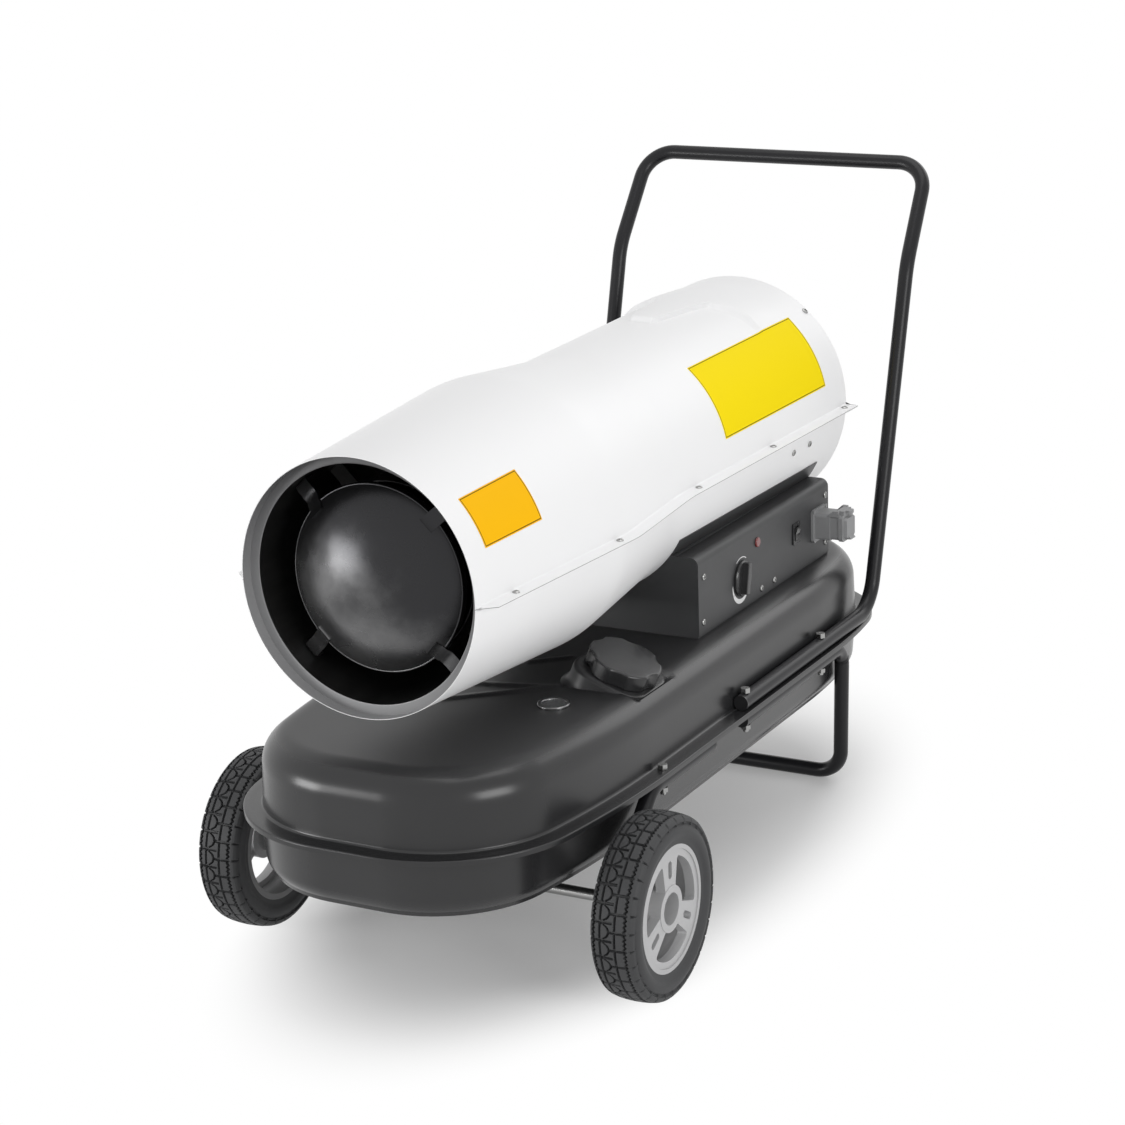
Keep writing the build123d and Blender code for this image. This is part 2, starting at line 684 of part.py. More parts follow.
def tube_plugs():
    plugs = []
    strut = strut_points()
    ends = [(Vector(TUBE_X, TUBE_START_Y, HANDLE_Z), Vector(0, -1, 0)),
            (Vector(TUBE_X, TUBE_START_Y, LEG_Z), Vector(0, -1, 0)),
            (strut[0], Vector(0, 1, 0)),
            (strut[2], (strut[2] - strut[1]).normalized())]
    for place, out in ends:
        room = min(PLUG_IN, STRUT_PAST - AXLE_R - 1) if out.Z else PLUG_IN
        if out.Y < 0 and not out.Z:
            room = min(room, BOLT_Y[0] - TUBE_START_Y - BOLT_R - 1)
        plug = rod(place, place + out * PLUG_T, TUBE_R)
        plugs.append(plug + rod(place - out * room, place, TUBE_R - TUBE_WALL))
    return both_sides(plugs)


# ---- axle and wheels ----
def wheel_turned(points):
    """A body turned about the axle from (x, radius) points, x from the wheel's middle."""
    face = make_face(Polyline(*[(WHEEL_X + x, 0, AXLE_Z + r) for x, r in points], close=True))
    return revolve(face, AXLE_AXIS, 360)


def axle():
    end = WHEEL_X + HUB_FLOOR + BUSH_FLANGE + 2 * GAP + CLIP_T + AXLE_STUB
    return rod((-end, 0, AXLE_Z), (end, 0, AXLE_Z), AXLE_R)


def axle_spacers():
    low = TUBE_X + TUBE_R
    high = low + SPACER_L
    return both_sides([rod((low, 0, AXLE_Z), (high, 0, AXLE_Z), SPACER_R, AXLE_R)])


def axle_clips():
    low = WHEEL_X + HUB_FLOOR + BUSH_FLANGE + GAP
    clip = rod((low, 0, AXLE_Z), (low + CLIP_T, 0, AXLE_Z), CLIP_R, AXLE_R)
    return both_sides([clip])


def tyre():
    """Blocks on both shoulders, a rib in the middle and a smooth side."""
    def at(x, r):
        return (WHEEL_X + x, 0, AXLE_Z + r)

    lip_r = RIM_SEAT_R + RIM_LIP
    seat, lip = RIM_HALF - RIM_LIP_W, RIM_HALF
    shoulder = WHEEL_R - CROWN_DROP
    side_r = lip_r + (shoulder - lip_r) * 0.45
    corner_r = shoulder - TREAD_DEPTH - 1.5
    corner_x = (TYRE_HALF + SHOULDER_X) / 2 + 1.5
    edges = [ThreePointArc(at(-SHOULDER_X, shoulder), at(0, WHEEL_R), at(SHOULDER_X, shoulder)),
             Line(at(seat, RIM_SEAT_R), at(-seat, RIM_SEAT_R))]
    for s in (1, -1):
        edges += [Line(at(s * SHOULDER_X, shoulder), at(s * corner_x, corner_r)),
                  ThreePointArc(at(s * corner_x, corner_r), at(s * TYRE_HALF, side_r),
                                at(s * lip, lip_r)),
                  Line(at(s * lip, lip_r), at(s * seat, lip_r)),
                  Line(at(s * seat, lip_r), at(s * seat, RIM_SEAT_R))]
    body = revolve(make_face(edges), AXLE_AXIS, 360)
    floor = WHEEL_R - TREAD_DEPTH
    for s in (1, -1):
        mid = s * (TREAD_RIB + TREAD_LINE / 2)
        body -= wheel_turned([(mid - TREAD_LINE / 2, floor), (mid + TREAD_LINE / 2, floor),
                              (mid + TREAD_LINE / 2, WHEEL_R + 1),
                              (mid - TREAD_LINE / 2, WHEEL_R + 1)])
    cutters = []
    inner, outer = TREAD_RIB + TREAD_LINE / 2, TYRE_HALF + 2
    step = 360 / TREAD_N
    for i in range(TREAD_N):
        for s, turn in ((1, 0), (-1, step / 2)):
            groove = Pos(s * (inner + outer) / 2, 0, WHEEL_R) * Box(
                outer - inner, TREAD_GAP, 2 * TREAD_DEPTH)
            cutters.append(Pos(WHEEL_X, 0, AXLE_Z) * Rot(step * i + turn, 0, 0) * groove)
    return body - cutters


def rim():
    """A moulded rim: bead seat, three slotted spokes with open windows, and a hub."""
    seat, lip = RIM_HALF - RIM_LIP_W, RIM_HALF
    inner = RIM_SEAT_R - RIM_WALL
    ring = wheel_turned([(-lip, inner), (-lip, RIM_SEAT_R + RIM_LIP),
                         (-seat, RIM_SEAT_R + RIM_LIP), (-seat, RIM_SEAT_R),
                         (seat, RIM_SEAT_R), (seat, RIM_SEAT_R + RIM_LIP),
                         (lip, RIM_SEAT_R + RIM_LIP), (lip, inner + 2)])
    hub = wheel_turned([(-TYRE_HALF, AXLE_R + BUSH_WALL), (-TYRE_HALF, HUB_TUBE_R),
                        (HUB_IN, HUB_TUBE_R), (HUB_IN, HUB_R), (HUB_OUT, HUB_R),
                        (HUB_OUT, HUB_RECESS_R), (HUB_FLOOR, HUB_RECESS_R),
                        (HUB_FLOOR, AXLE_R + BUSH_WALL)])
    disc_face = Circle((inner + RIM_SEAT_R) / 2) - Circle(HUB_R - 1)
    window = RIM_SEAT_R - RIM_FACE
    gap_face = Circle(window) - Circle(HUB_R)
    (w0, w1), far = SPOKE_W, RIM_SEAT_R
    w1 += (w1 - w0) * (far - window) / (window - HUB_R)
    w0 -= (w1 - w0) * HUB_R / (far - HUB_R)
    arm = make_face(Polyline((0, -w0 / 2), (far, -w1 / 2), (far, w1 / 2), (0, w0 / 2),
                             close=True))
    turns = [Rot(0, 0, 90 + 360 / SPOKE_N * i) for i in range(SPOKE_N)]
    for turn in turns:
        gap_face -= turn * arm
    disc_face -= fillet(gap_face.vertices(), SPOKE_ROUND)
    mid = (HUB_R + window) / 2 + SPOKE_SLOT_W / 3
    for turn in turns:
        disc_face -= turn * Pos(mid, 0) * SlotOverall(SPOKE_SLOT_L, SPOKE_SLOT_W)
    side = Plane(origin=(WHEEL_X + SPOKE_IN, 0, AXLE_Z), x_dir=(0, 1, 0), z_dir=(1, 0, 0))
    return ring + hub + extrude(side * disc_face, SPOKE_OUT - SPOKE_IN)


def bush():
    bore, out = AXLE_R + RUN, AXLE_R + BUSH_WALL
    a, b = -TYRE_HALF, HUB_FLOOR
    return wheel_turned([(a - BUSH_FLANGE, bore), (a - BUSH_FLANGE, BUSH_FLANGE_R),
                         (a, BUSH_FLANGE_R), (a, out), (b, out), (b, BUSH_FLANGE_R),
                         (b + BUSH_FLANGE, BUSH_FLANGE_R), (b + BUSH_FLANGE, bore)])


# ---- barrel ----
def seam_plate(z0, z1):
    """The seam flange of both sides as one plate with the barrel's inside cut out."""
    y0, y1 = BARREL[0][0], BARREL[-1][0]
    ys = [SEAM_START + SEAM_W] + [y for y, r in BARREL[1:-1]] + [y1]
    edge = [(barrel_r(SEAM_START), SEAM_START)] + [(barrel_r(y) + SEAM_W, y) for y in ys]
    outline = edge + [(-x, y) for x, y in reversed(edge)]
    plate = extrude(Pos(0, 0, z0) * make_face(Polyline(*outline, close=True)), z1 - z0)
    return plate - barrel_core(y0 - 1, y1 + 1, -BARREL_WALL)


def seam_spots():
    return [Vector(barrel_r(y) + SEAM_SCREW_IN, y, SEAM_Z) for y in SEAM_SCREW_Y]


def guard_spots():
    y = GUARD_Y + GUARD_RIM / 2
    return [(a, y) for a in (GUARD_SCREW_DEG, 180 - GUARD_SCREW_DEG,
                             180 + GUARD_SCREW_DEG, -GUARD_SCREW_DEG)]


def plate_spots():
    spots = []
    for y in PLATE_SCREW_Y:
        drop = (MOTOR_R - PLATE_SCREW_UP) / barrel_r(y)
        a = atan2(drop, sqrt(1 - drop * drop)) * 180 / pi
        spots += [(-a, y), (180 + a, y)]
    return spots


def barrel_holes():
    cuts = []
    for p in seam_spots():
        hole = rod(p - Vector(0, 0, 9), p + Vector(0, 0, 9), SCREW_R + HOLE)
        cuts += [hole, mirrored(hole)]
    for a, y in guard_spots() + plate_spots():
        r = barrel_r(y)
        cuts.append(rod(radial(a, y, r - 12), radial(a, y, r + 6), SCREW_R + HOLE))
    return cuts


def barrel_half(upper):
    y0, y1 = BARREL[0][0], BARREL[-1][0]
    reach = 2 * BARREL[1][1]
    s = 1 if upper else -1
    keep = slab(-reach, reach, y0 - 9, y1 + 9, SEAM_Z, SEAM_Z + s * reach)
    half = barrel_skin(y0, y1, 0, BARREL_WALL) & keep
    z0, z1 = sorted((SEAM_Z, SEAM_Z + s * BARREL_WALL))
    half += seam_plate(z0, z1)
    half -= barrel_holes()
    if not upper:
        half -= rod((0, FUEL_LINE_Y, TANK_TOP_Z), (0, FUEL_LINE_Y, AXIS_Z), LINE_R + HOLE)
    return half


def screw(seat, out, grip):
    """A pan head screw, its head on seat, its shank inwards by grip."""
    head = rod(seat, seat + out * SCREW_HEAD_H, SCREW_HEAD_R)
    return head + rod(seat - out * grip, seat, SCREW_R)


def barrel_screws():
    up = Vector(0, 0, 1)
    grip = 2 * BARREL_WALL + SCREW_TAIL
    out = both_sides([screw(p + up * BARREL_WALL, up, grip) for p in seam_spots()])
    for a, y in guard_spots() + plate_spots():
        out.append(screw(radial(a, y, barrel_r(y) + 0.2), spoke_dir(a), grip))
    return out


# ---- burner ----
def flame_liner():
    y0, y1 = LINER_Y
    skin_0 = barrel_r(y0) - BARREL_WALL
    skin_1 = barrel_r(y0 + LINER_WALL) - BARREL_WALL
    inner = LINER_R - LINER_WALL
    return turned([(y0, LINER_R - LINER_LIP), (y0, skin_0), (y0 + LINER_WALL, skin_1),
                   (y0 + LINER_WALL, LINER_R), (y1, LINER_R), (y1, inner),
                   (y0 + LINER_WALL, inner), (y0 + LINER_WALL, LINER_R - LINER_LIP)])


def combustion_chamber():
    y0, y1 = CHAMBER_Y
    inner = CHAMBER_R - LINER_WALL
    can = turned([(y0, inner), (y0, CHAMBER_R), (y1, CHAMBER_R), (y1, inner)])
    for i in range(CHAMBER_HOLES // 2):
        a = 360 / CHAMBER_HOLES * (i + 0.5)
        can -= rod(radial(a, CHAMBER_HOLE_Y, -CHAMBER_R - 5),
                   radial(a, CHAMBER_HOLE_Y, CHAMBER_R + 5), CHAMBER_HOLE_R)
    return can


def strap(angle, y, r0, r1, width, length, thick):
    """A Z shaped strap: a foot on the inner tube, a web across and a foot on the outer."""
    pts = [(y - length, r0), (y + thick, r0), (y + thick, r1 - thick),
           (y + length, r1 - thick), (y + length, r1), (y, r1), (y, r0 + thick),
           (y - length, r0 + thick)]
    face = make_face(Polyline(*[(0, yy, AXIS_Z + r) for yy, r in pts], close=True))
    body = extrude(face, width / 2, both=True)
    return body.rotate(BARREL_AXIS, angle)


def chamber_brackets():
    out = []
    low, high = CHAMBER_R, LINER_R - LINER_WALL
    y0, y1 = BARREL[0][0], BARREL[-1][0]
    trim = turned([(y0, 0), (y0, low), (y1, low), (y1, 0)])
    hoop = turned([(y0, high), (y0, REACH), (y1, REACH), (y1, high)])
    for y in BRACKET_Y:
        for i in range(4):
            s = strap(45 + 90 * i, y, low - 2, high + 2, BRACKET_W, BRACKET_L, BRACKET_T + 2)
            out.append(s - trim - hoop)
    core = turned([(y0, 0), (y0, LINER_R), (y1, LINER_R), (y1, 0)])
    inside = barrel_core(y0, y1, -BARREL_WALL)
    for y in LINER_BRACKET_Y:
        for i in range(4):
            r1 = barrel_r(y) - BARREL_WALL
            s = strap(45 + 90 * i, y, LINER_R - 2, r1 + 6, BRACKET_W, BRACKET_L,
                      BRACKET_T + 2)
            out.append((s - core) & inside)
    return out


def flame_dome():
    """A pressed dome over the flame with four tabs out to the liner."""
    big = (DOME_R ** 2 + DOME_RISE ** 2) / (2 * DOME_RISE)
    y_c = DOME_Y - DOME_RISE + big

    def cap(r):
        return [(y_c - r, 0), (y_c - sqrt(r * r - (DOME_R / 2) ** 2), DOME_R / 2)]

    outer = cap(big)
    inner_big = big - DOME_T
    rim = DOME_R - DOME_T
    inner = [(y_c - inner_big, 0),
             (y_c - sqrt(inner_big ** 2 - (rim / 2) ** 2), rim / 2),
             (y_c - sqrt(inner_big ** 2 - rim ** 2), rim)]

    def at(p):
        return (0, p[0], AXIS_Z + p[1])

    back = DOME_Y + TAB_BACK
    face = make_face([ThreePointArc(at(outer[0]), at(outer[1]), at((DOME_Y, DOME_R))),
                      Line(at((DOME_Y, DOME_R)), at((back, DOME_R))),
                      Line(at((back, DOME_R)), at((back, rim))),
                      Line(at((back, rim)), at(inner[2])),
                      ThreePointArc(at(inner[2]), at(inner[1]), at(inner[0])),
                      Line(at(inner[0]), at(outer[0]))])
    dome = revolve(face, BARREL_AXIS, 360)
    hoop = LINER_R - LINER_WALL
    lap = DOME_R - TAB_LAP
    keep = turned([(DOME_Y - DOME_RISE, lap), (DOME_Y - DOME_RISE, hoop),
                   (DOME_Y + DOME_RISE, hoop), (DOME_Y + DOME_RISE, lap)])
    half = [(y + DOME_T / 2, r * (1 - DOME_T / 2 / DOME_R))
            for y, r in (*outer, (DOME_Y, DOME_R))]
    side = (back, half[2][1])
    core = revolve(make_face([ThreePointArc(*[at(p) for p in half]),
                              Line(at(half[2]), at(side)), Line(at(side), at((back, 0))),
                              Line(at((back, 0)), at(half[0]))]), BARREL_AXIS, 360)
    front = y_c - sqrt(big * big - lap * lap)
    for i in range(4):
        tab = strap(45 + 90 * i, DOME_Y + TAB_BACK / 2, DOME_R - DOME_T, hoop + 2,
                    TAB_W, TAB_L, DOME_T + 2)
        tab -= barrel_core(BARREL[0][0], DOME_Y, 0)
        leaf = make_face(Polyline(at((front - DOME_T, lap)), at((DOME_Y - DOME_T, DOME_R)),
                                  at((DOME_Y + DOME_T, DOME_R + DOME_T)),
                                  at((DOME_Y + DOME_T, DOME_R - DOME_T)),
                                  at((front + DOME_T, lap)), close=True))
        tab += extrude(leaf, TAB_W / 2, both=True).rotate(BARREL_AXIS, 45 + 90 * i)
        dome += (tab & keep) - core
    return dome


def burner_head():
    y1 = CHAMBER_Y[1]
    r = CHAMBER_R - LINER_WALL
    y0 = y1 - HEAD_T
    head = turned([(y0, NOZZLE_R), (y0, r), (y1, r), (y1, HOLDER_R),
                   (y1 + HOLDER_L, HOLDER_R), (y1 + HOLDER_L, NOZZLE_R)])
    r0, r1 = HEAD_SLOT_R
    for i in range(HEAD_SLOTS):
        slot = slab(-5, 5, y0 - 5, y1 + 5, AXIS_Z + r0, AXIS_Z + r1)
        head -= slot.rotate(BARREL_AXIS, 360 / HEAD_SLOTS * (i + 0.5))
    for x in (-ELECTRODE_X, ELECTRODE_X):
        z = AXIS_Z + ELECTRODE_Z
        head -= rod((x, y0 - 1, z), (x, y1 + 1, z), ELECTRODE_R)
    z = AXIS_Z + SENSOR_Z
    return head - rod((SENSOR_X, y0 - 1, z), (SENSOR_X, y1 + 1, z), SENSOR_R)


def fuel_nozzle():
    y0, y1 = CHAMBER_Y[1] - HEAD_T, CHAMBER_Y[1] + HOLDER_L
    nose = turned([(y0 - NOZZLE_L, 0), (y0 - NOZZLE_L, NOZZLE_R / 2), (y0, NOZZLE_R),
                   (y0 + NOZZLE_L, NOZZLE_R), (y0 + NOZZLE_L, 0)])
    return nose


def ignition_electrodes():
    y0, y1 = CHAMBER_Y[1] - HEAD_T, CHAMBER_Y[1]
    z = AXIS_Z + ELECTRODE_Z
    out = []
    for s in (1, -1):
        x = s * ELECTRODE_X
        body = rod((x, y0 - NOZZLE_L, z), (x, y1 + NOZZLE_L, z), ELECTRODE_R)
        tip = Vector(s * 2.5, y0 - 2 * NOZZLE_L, AXIS_Z + NOZZLE_R)
        body += rod(Vector(x, y0 - NOZZLE_L + 1, z), tip, 1.2)
        out.append(body)
    return out


def flame_sensor():
    y0, y1 = CHAMBER_Y[1] - HEAD_T, CHAMBER_Y[1]
    z = AXIS_Z + SENSOR_Z
    body = rod((SENSOR_X, y0, z), (SENSOR_X, y1 + 2 * SENSOR_R, z), SENSOR_R)
    return body + rod((SENSOR_X, y1, z), (SENSOR_X, y1 + SENSOR_R / 2, z), SENSOR_R * 1.4)


# ---- fan end ----
def fan():
    """Twisted blades on a hub: each blade is lofted from its root to its tip."""
    y0, y1 = FAN_Y - FAN_HUB_L / 2, FAN_Y + FAN_HUB_L / 2
    wheel = turned([(y0, SHAFT_R), (y0, FAN_HUB_R), (y1, FAN_HUB_R), (y1, SHAFT_R)])
    for i in range(FAN_BLADES):
        sections = []
        chords = (BLADE_CHORD[0] * BLADE_ROOT_SHARE, BLADE_CHORD[1])
        for r, chord, pitch in zip((FAN_HUB_R - BLADE_BURY, FAN_R), chords, BLADE_PITCH_DEG):
            place = Plane(origin=(0, FAN_Y, AXIS_Z + r), x_dir=(1, 0, 0), z_dir=(0, 0, 1))
            sections.append(place * Rot(0, 0, pitch) * Rectangle(chord, BLADE_T))
        blade = loft(sections)
        wheel += blade.rotate(BARREL_AXIS, 360 / FAN_BLADES * i)
    low, high = FAN_Y - BLADE_CHORD[1], FAN_Y + BLADE_CHORD[1]
    wheel &= turned([(low, 0), (low, FAN_R), (high, FAN_R), (high, 0)])
    return wheel - turned([(low, 0), (low, SHAFT_R), (high, SHAFT_R), (high, 0)])


def rotor_y():
    y0 = MOTOR_Y[1] + (PUMP_L - ROTOR_L) / 2
    return y0, y0 + ROTOR_L


def motor_shaft():
    y0 = FAN_Y - FAN_HUB_L / 2 - SHAFT_R
    a, b = rotor_y()
    return turned([(y0, 0), (y0, SHAFT_R), (a, SHAFT_R), (a, ROTOR_R), (b, ROTOR_R), (b, 0)])


def motor_body():
    y0, y1 = MOTOR_Y
    r, s, t = MOTOR_R - MOTOR_BAND, SHAFT_R + RUN, MOTOR_BAND
    return turned([(y0, s), (y0, r - 8), (y0 + 3 * t, r), (y0 + 8 * t, r), (y0 + 8 * t, MOTOR_R),
                   (y1 - 8 * t, MOTOR_R), (y1 - 8 * t, r), (y1 - 2 * t, r),
                   (y1 - 2 * t, r - 4), (y1, r - 4), (y1, s)])


def motor_bracket():
    """A plate across the barrel with tabs that follow its wall."""
    y0, y1 = PLATE_Y
    z1 = PLATE_Z
    z0 = z1 - PLATE_T
    reach = BARREL[1][1]
    plate = slab(-reach, reach, y0, y1, z0, z1) & barrel_core(y0, y1, -BARREL_WALL)
    tabs = barrel_skin(y0, y1, -BARREL_WALL, PLATE_T)
    tabs &= slab(-reach, reach, y0, y1, z0, z1 + PLATE_TAB)
    part = plate + tabs
    for s in (-1, 1):
        part -= slab(s * PLATE_HOLE[0], s * PLATE_HOLE[1], y0 + PLATE_HOLE_IN,
                     y1 - PLATE_HOLE_IN, z0 - 1, z1 + 1)
    for a, y in plate_spots():
        part -= rod(radial(a, y, reach / 2), radial(a, y, reach + 9), SCREW_R + HOLE)
    return part


def air_pump():
    y0, y1 = MOTOR_Y[1], MOTOR_Y[1] + PUMP_L
    a, b = rotor_y()
    s, r = SHAFT_R + RUN, ROTOR_R + RUN
    pump = turned([(y0, s), (y0, PUMP_R), (y1 - 9, PUMP_R), (y1 - 9, PUMP_R - 6),
                   (y1, PUMP_R - 6), (y1, 0), (b + GAP, 0), (b + GAP, r), (a - GAP, r),
                   (a - GAP, s)])
    ang = AIR_LINE_DEG
    mid = (y0 + y1) / 2
    return pump + rod(radial(ang, mid, ROTOR_R + 8), radial(ang, mid, PUMP_R + 8), LINE_R * 1.8)


def inlet_guard():
    """A stamped guard: rim, rings and bars in one sheet."""
    y0, y1 = GUARD_Y, GUARD_Y + GUARD_RIM
    r_in = barrel_r(y0) - BARREL_WALL
    rim = barrel_skin(y0, y1, -BARREL_WALL, GUARD_T)
    plane = Plane(origin=(0, y0, AXIS_Z), x_dir=(1, 0, 0), z_dir=(0, 1, 0))
    face = Circle(r_in - GUARD_T / 2)
    for r0, r1 in GUARD_RINGS:
        ring = Circle(r1) - Circle(r0)
        for i in range(GUARD_SLOTS // 2):
            ring -= Rot(0, 0, 360 / GUARD_SLOTS * (i + 0.5)) * Rectangle(2 * r1 + 9, GUARD_BAR)
        face -= ring
    guard = rim + extrude(plane * face, GUARD_T)
    for a, y in guard_spots():
        r = barrel_r(y)
        guard -= rod(radial(a, y, r - 20), radial(a, y, r + 6), SCREW_R + HOLE)
    return guard


# ---- control box ----
def panel_hole(spot, r):
    y, up = spot
    z = TANK_TOP_Z + up
    return rod((PANEL_X - 9, y, z), (PANEL_X + 9, y, z), r)


def pedestal():
    """Folded sheet that carries the barrel on the tank and holds the electric parts."""
    y0, y1 = BOX_Y
    z0, z1, t = TANK_TOP_Z, BOX_Z, COVER_T
    side = PANEL_X - t
    wall = LEDGE_X
    body = None
    for y in (y0, y1 - t):
        end = slab(-wall, side, y, y + t, z0, z1 - t)
        corner = end.edges().filter_by(Axis.Y).sort_by(lambda e: (e @ 0.5).X + (e @ 0.5).Z)
        end = fillet(corner[-1], COVER_FOLD - t)
        body = end if body is None else body + end
    left = slab(-wall, -wall + t, y0, y1, z0, z1)
    right = slab(wall - t, wall, y0, y1, z0, z1)
    body += left + right
    for s in (1, -1):
        body += slab(s * (wall - 26), s * wall, y0, y1, z1 - t, z1)
        body += slab(s * wall, s * (wall - FOOT_W), y0, y1, z0, z0 + t)
    body += slab(wall - t, side, y0, y1, z0, z0 + t)
    body += slab(side - t, side, y0, y1, z0, z0 + RAIL_H)
    body += slab(side - t, side, y0, y0 + TAB_IN, z0, z1 - COVER_FOLD - t)
    body += slab(side - t, side, y1 - TAB_IN, y1, z0, z1 - COVER_FOLD - t)
    core = barrel_core(BARREL[0][0], BARREL[-1][0], 0)
    saddle = barrel_skin(y0, y1, t, t) & slab(-PANEL_X, PANEL_X, y0, y1, z1 - t,
                                             z1 + SADDLE_UP)
    body = body + saddle - core
    for spot in COVER_SCREWS:
        body -= panel_hole(spot, SCREW_R + HOLE)
    z = TANK_TOP_Z + INLET[1]
    body -= slab(side - 2 * t, side + 1, INLET[0] - INLET_BODY / 2, INLET[0] + INLET_BODY / 2,
                 z - INLET_BODY / 2, z + INLET_BODY / 2)
    return body


def control_cover():
    """Side cover: flat panel, a rounded fold and a flat top back to the saddle."""
    y0, y1 = BOX_Y
    z0, z1, t, r = TANK_TOP_Z + 2 * COVER_T, BOX_Z, COVER_T, COVER_FOLD
    x0, x1 = sqrt((barrel_r(y1) + t) ** 2 - (AXIS_Z - z1) ** 2) + GAP, PANEL_X
    c = (x1 - r, z1 - r)
    k = sqrt(0.5)

    def at(x, z):
        return (x, y0, z)

    edges = [Line(at(x0, z1), at(c[0], z1)),
             ThreePointArc(at(c[0], z1), at(c[0] + r * k, c[1] + r * k), at(x1, c[1])),
             Line(at(x1, c[1]), at(x1, z0)), Line(at(x1, z0), at(x1 - t, z0)),
             Line(at(x1 - t, z0), at(x1 - t, c[1])),
             ThreePointArc(at(x1 - t, c[1]), at(c[0] + (r - t) * k, c[1] + (r - t) * k),
                           at(c[0], z1 - t)),
             Line(at(c[0], z1 - t), at(x0, z1 - t)), Line(at(x0, z1 - t), at(x0, z1))]
    cover = extrude(make_face(edges), y1 - y0, dir=(0, 1, 0))
    for spot in COVER_SCREWS:
        cover -= panel_hole(spot, SCREW_R + HOLE)
    cover -= panel_hole(KNOB, STAT_BUSH_R)
    cover -= panel_hole(LAMP, LAMP_STEM_R)
    y, z = SWITCH[0], TANK_TOP_Z + SWITCH[1]
    cover -= slab(x1 - 9, x1 + 9, y - SWITCH_W / 2, y + SWITCH_W / 2, z - SWITCH_L / 2,
                  z + SWITCH_L / 2)
    y, z = INLET[0], TANK_TOP_Z + INLET[1]
    a = INLET_BODY / 2
    return cover - slab(x1 - 9, x1 + 9, y - a, y + a, z - a, z + a)


def cover_screws():
    out = []
    for y, up in COVER_SCREWS:
        seat = Vector(PANEL_X, y, TANK_TOP_Z + up)
        out.append(screw(seat, Vector(1, 0, 0), 2 * COVER_T + SCREW_TAIL))
    return out


def panel_plane(spot, out):
    """The plane of the panel at a spot, moved out of it."""
    y, up = spot
    return Plane(origin=(PANEL_X + out, y, TANK_TOP_Z + up), x_dir=(0, 1, 0), z_dir=(1, 0, 0))


def thermostat_body():
    inside = panel_plane(KNOB, -COVER_T)
    body = extrude(inside * RectangleRounded(STAT_A, STAT_A, 4), -STAT_D)
    body += extrude(inside * Circle(STAT_BUSH_R), COVER_T)
    return body - extrude(inside * Circle(KNOB_SHAFT_R + RUN), 2 * STAT_D / 3, both=True)


def thermostat_knob():
    base = panel_plane(KNOB, GAP)
    knob = extrude(base * Circle(KNOB_R), KNOB_SKIRT)
    knob = chamfer(knob.faces().sort_by(Axis.X)[-1].edges(), KNOB_SKIRT / 3)
    grip = Rectangle(2 * KNOB_R, KNOB_GRIP_W) & Circle(KNOB_R - KNOB_SKIRT / 2)
    grip = extrude(base * Rot(0, 0, 90 - KNOB_TURN) * grip, KNOB_SKIRT + KNOB_GRIP_H, taper=4)
    knob += fillet(grip.faces().sort_by(Axis.X)[-1].edges(), KNOB_SKIRT / 4)
    return knob + extrude(panel_plane(KNOB, GAP) * Circle(KNOB_SHAFT_R), -STAT_D / 2)


def pilot_lamp():
    lamp = extrude(panel_plane(LAMP, 0) * Circle(LAMP_R), LAMP_H, taper=20)
    return lamp + extrude(panel_plane(LAMP, 0) * Circle(LAMP_STEM_R), -LAMP_STEM_L)


def switch_bezel():
    outer = Rectangle(SWITCH_W + 2 * SWITCH_RIM, SWITCH_L + 2 * SWITCH_RIM)
    room = Rectangle(SWITCH_W - 2 * SWITCH_RIM, SWITCH_L - 2 * SWITCH_RIM)
    bezel = extrude(panel_plane(SWITCH, 0) * outer, SWITCH_H)
    bezel += extrude(panel_plane(SWITCH, 0) * Rectangle(SWITCH_W, SWITCH_L), -SWITCH_D)
    bezel -= extrude(panel_plane(SWITCH, SWITCH_H) * room, -(SWITCH_D + SWITCH_H) * 0.8)
    y, z, half = SWITCH[0], TANK_TOP_Z + SWITCH[1], SWITCH_W / 2 - SWITCH_RIM + SWITCH_PIN_L
    return bezel - rod((PANEL_X, y - half, z), (PANEL_X, y + half, z), SWITCH_PIN_R + RUN)


def switch_rocker():
    """A rocker on a round back, lying at its lower stop."""
    w = SWITCH_W / 2 - SWITCH_RIM - GAP
    half = SWITCH_L / 2 - SWITCH_RIM - 1.5
    y, z = SWITCH[0], TANK_TOP_Z + SWITCH[1]
    x = PANEL_X
    pts = [(x - 5, z - 4), (x + 2, z - half), (x + 5.5, z - half), (x + 4, z),
           (x + 5.5, z + half), (x + 2, z + half), (x - 5, z + 4)]
    face = make_face(Polyline(*[(px, y, pz) for px, pz in pts], close=True))
    rocker = extrude(face, w, both=True)
    pin = w + SWITCH_PIN_L
    rocker += rod((x, y - pin, z), (x, y + pin, z), SWITCH_PIN_R)
    return rocker.rotate(Axis((x, y, z), (0, 1, 0)), SWITCH_TILT)


def square(side, corner=INLET_CORNER):
    return RectangleRounded(side, side, corner)


